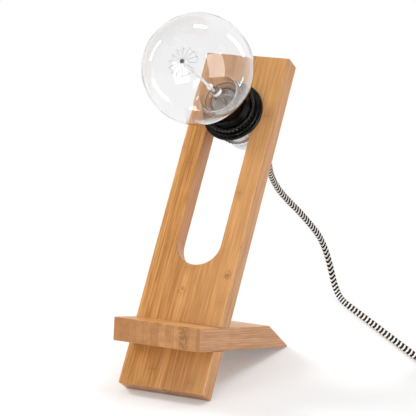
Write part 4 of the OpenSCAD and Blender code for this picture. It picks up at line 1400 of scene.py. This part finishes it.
sections = []
for i in range(89):
    x = 0.25 * i
    r = SLEEVE_TIP_R + SLEEVE_FLARE * x / PLUG_SLEEVE
    if 3 < x < 19:
        r -= PLUG_RIB * ripple((x - 3) / RIB_PITCH)
    sections.append(section(2 * r, 2 * r, r, x))
for share in (0.3, 0.7, 1.0):
    sections.append(section(SLEEVE_W + (PLUG_NECK_W - SLEEVE_W) * share,
                            SLEEVE_W + (PLUG_T - SLEEVE_W) * share,
                            SLEEVE_W / 2 + (CORNER_R - SLEEVE_W / 2) * share,
                            PLUG_SLEEVE + 0.2 + 1.4 * share))
for i in range(1, 15):
    share = i / 14
    wide = PLUG_NECK_W + (PLUG_W - PLUG_NECK_W) * ripple(share / 2) ** 0.8
    sections.append(section(wide, PLUG_T, CORNER_R, PLUG_SLEEVE + 1.6 + 12.4 * share))
nose = PLUG_SLEEVE + PLUG_L
sections.append(section(PLUG_W, PLUG_T, CORNER_R, nose - 1.2))
for t in (math.radians(30), math.radians(60), math.radians(90)):
    inset = 1 - math.cos(t)
    sections.append(section(PLUG_W - 2 * inset, PLUG_T - 2 * inset, CORNER_R - inset,
                            nose - 1 + math.sin(t)))
make_piece("plug", [p for ring in sections for p in ring],
           tube_faces(len(sections), len(sections[0])), on_plug, black_satin, "stand",
           "black_plastic", ["plug_body"])

# %% [markdown]
# The steel pin, the screws, the contacts, the plug's pins and the tie keep their solids. The
# tie is a woven strap, so its finish has a fine rib across it.

# %% Finishes for the switch's inside, the pins and the tie
WEFT_M, WARP_M = 0.0007, 0.0009


def strap_finish():
    finish, tree, shader = new_finish("woven strap", Roughness=0.85, Sheen_Weight=0.3,
                                      Specular_IOR_Level=0.25)
    x, y, z = put(tree, "SeparateXYZ", here(tree)).outputs
    weft = fold(tree, calc(tree, "DIVIDE", plus(tree, x, z), WEFT_M))
    warp = fold(tree, calc(tree, "DIVIDE", y, WARP_M))
    threads = times(tree, weft, warp)
    # Painted shade: the strap is darker where its threads dip, as shade in the gaps between
    # them.
    feed(tree, shader, "Base Color",
         mix(tree, between(tree, threads, 0.02, 0.2), tone(18, 17, 18), tone(52, 50, 52)))
    bump(tree, shader, threads, 0.3)
    return finish


steel = metal("steel", tone(190, 190, 192), 0.25)
dress(steel, "rocker_pin", "switch_screws")
dress(pressed_brass, "switch_contacts")
dress(nickel, "plug_pins")
dress(strap_finish(), "coil_tie")

# %% [markdown]
# With the switch and the plug made, the lengths of the cord's two stretches, to the switch and
# after it, are printed.

print(f"cord declared: {lead_length:.0f} mm to the switch, {tail_length:.0f} mm after it")

# %% [markdown]
# ## Floor and light
# The lamp stands on a plain white sheet that takes the shadows. For the camera, the glass and
# the metal the sheet gives light of its own, little under the lamp and more with the
# distance, so it stays paper white to the picture's edges.

# %% Floor
FLOOR_Z, LAMP_MIDDLE = -0.3, (0.03, 0.09, 0)


def floor_finish():
    finish, tree, shader = new_finish("white paper", Roughness=0.9, Specular_IOR_Level=0.1)
    grain = cloudy(tree, here(tree), 900.0, 2.0)
    feed(tree, shader, "Base Color", mix(tree, grain, (0.90, 0.90, 0.90, 1),
                                         (0.93, 0.93, 0.93, 1)))
    paths = put(tree, "LightPath").outputs
    seen = calc(tree, "MAXIMUM", paths["Is Camera Ray"],
                calc(tree, "MAXIMUM", paths["Is Glossy Ray"], paths["Is Transmission Ray"]))
    away = put(tree, "VectorMath", here(tree), LAMP_MIDDLE,
               operation="DISTANCE").outputs["Value"]
    share = times(tree, seen, between(tree, away, 0.12, 0.285, 0.24, 1.0, smooth=True))
    glow = put(tree, "Emission", (1, 1, 1, 1), 1.0).outputs[0]
    sheet = put(tree, "MixShader", share, shader.outputs[0], glow).outputs[0]
    out = next(n for n in tree.nodes if n.type == "OUTPUT_MATERIAL")
    tree.links.new(sheet, out.inputs[0])
    return finish


floor_corners = [(-4000, -3000, FLOOR_Z), (4000, -3000, FLOOR_Z), (4000, 9000, FLOOR_Z),
                 (-4000, 9000, FLOOR_Z)]
floor_mesh = bpy.data.meshes.new("paper")
floor_mesh.from_pydata([to_metres @ Vector(c) for c in floor_corners], [], [(0, 1, 2, 3)])
floor_mesh.materials.append(floor_finish())
floor = linked("paper", floor_mesh)
print("paper laid", abs(FLOOR_Z), "mm under the lamp")

# %% [markdown]
# The highlights in the globe tell where the softboxes stood: a highlight's place on a ball
# gives the direction of its light. Narrow ones stand left and right behind the globe, a small
# one is overhead and a window is beside the camera, which only the reflections need. The
# lights that make the shadows are left out of the reflections, because the globe shows no
# highlight of them. Each place is given as seen from the globe along the camera's own
# directions, so it can be read off the picture.

# %% Lights
def soft_light(name, power, size, place, aim):
    """A rectangular softbox of (width, height) that looks at a point."""
    data = bpy.data.lights.new(name, "AREA")
    data.energy, data.shape = power, "RECTANGLE"
    data.size, data.size_y = size
    box = linked(name, data)
    box.location = place
    box.rotation_euler = (Vector(aim) - Vector(place)).to_track_quat("-Z", "Y").to_euler()
    return box


globe_at = on_axis @ Vector((0, 0, GLOBE_H))
view = camera.rotation_euler.to_matrix()


def placed(right, up, towards, distance):
    """A place seen from the globe along the camera's own right, up and towards."""
    return globe_at + (view @ Vector((right, up, towards)).normalized()) * distance


NEAR, FAR = 1.25, 1.5
soft_light("left softbox", 2.0, (0.12, 0.70), placed(-0.855, 0.40, -0.346, FAR), globe_at)
soft_light("right softbox", 3.0, (0.26, 0.90), placed(0.80, 0.52, -0.289, FAR), globe_at)
soft_light("top softbox", 2.5, (0.45, 0.26), placed(0.06, 0.993, -0.03, FAR), globe_at)
front = soft_light("front softbox", 4.3, (0.95, 1.0), placed(-0.46, 0.02, 0.89, NEAR), globe_at)
window = soft_light("window", 9.5, (0.78, 1.05), placed(0.614, 0.066, 0.786, NEAR), globe_at)
window.visible_diffuse = False
key = soft_light("key softbox", 12.5, (0.45, 0.60), placed(-0.80, 0.55, -0.25, FAR), globe_at)
fill = soft_light("fill softbox", 7.5, (0.90, 0.60), placed(0.30, 0.90, 0.45, FAR), globe_at)
for unseen in (key, fill, front):
    unseen.visible_glossy = False
    unseen.visible_transmission = False
print("seven softboxes round the globe at", tuple(round(c, 3) for c in globe_at))

# %% [markdown]
# The room around is white for the camera and through the glass. In reflections it is white
# behind the lamp and half as bright towards the camera. As light on matt surfaces it has half
# its strength, and the softboxes do the rest.

# %% Room
ROOM_LIGHT, BEHIND = 0.5, (-0.41, 0.88, -0.25)
world = bpy.data.worlds.new("white room")
bpy.context.scene.world = world
world.use_nodes = True
sky = world.node_tree
sky.nodes.clear()
paths = put(sky, "LightPath").outputs
direct = calc(sky, "MAXIMUM", paths["Is Camera Ray"], paths["Is Transmission Ray"])
towards = put(sky, "VectorMath", put(sky, "TexCoord").outputs["Generated"], BEHIND,
              operation="DOT_PRODUCT").outputs["Value"]
behind = between(sky, towards, -0.1, 0.6, 0.5, 1.0, smooth=True)
mirrored = times(sky, paths["Is Glossy Ray"], behind)
strength = calc(sky, "MAXIMUM", direct, calc(sky, "MAXIMUM", mirrored, ROOM_LIGHT))
background = put(sky, "Background", (1, 1, 1, 1), strength)
put(sky, "OutputWorld", background.outputs[0])
bpy.context.scene.view_settings.view_transform = "Standard"
print("stage ready")
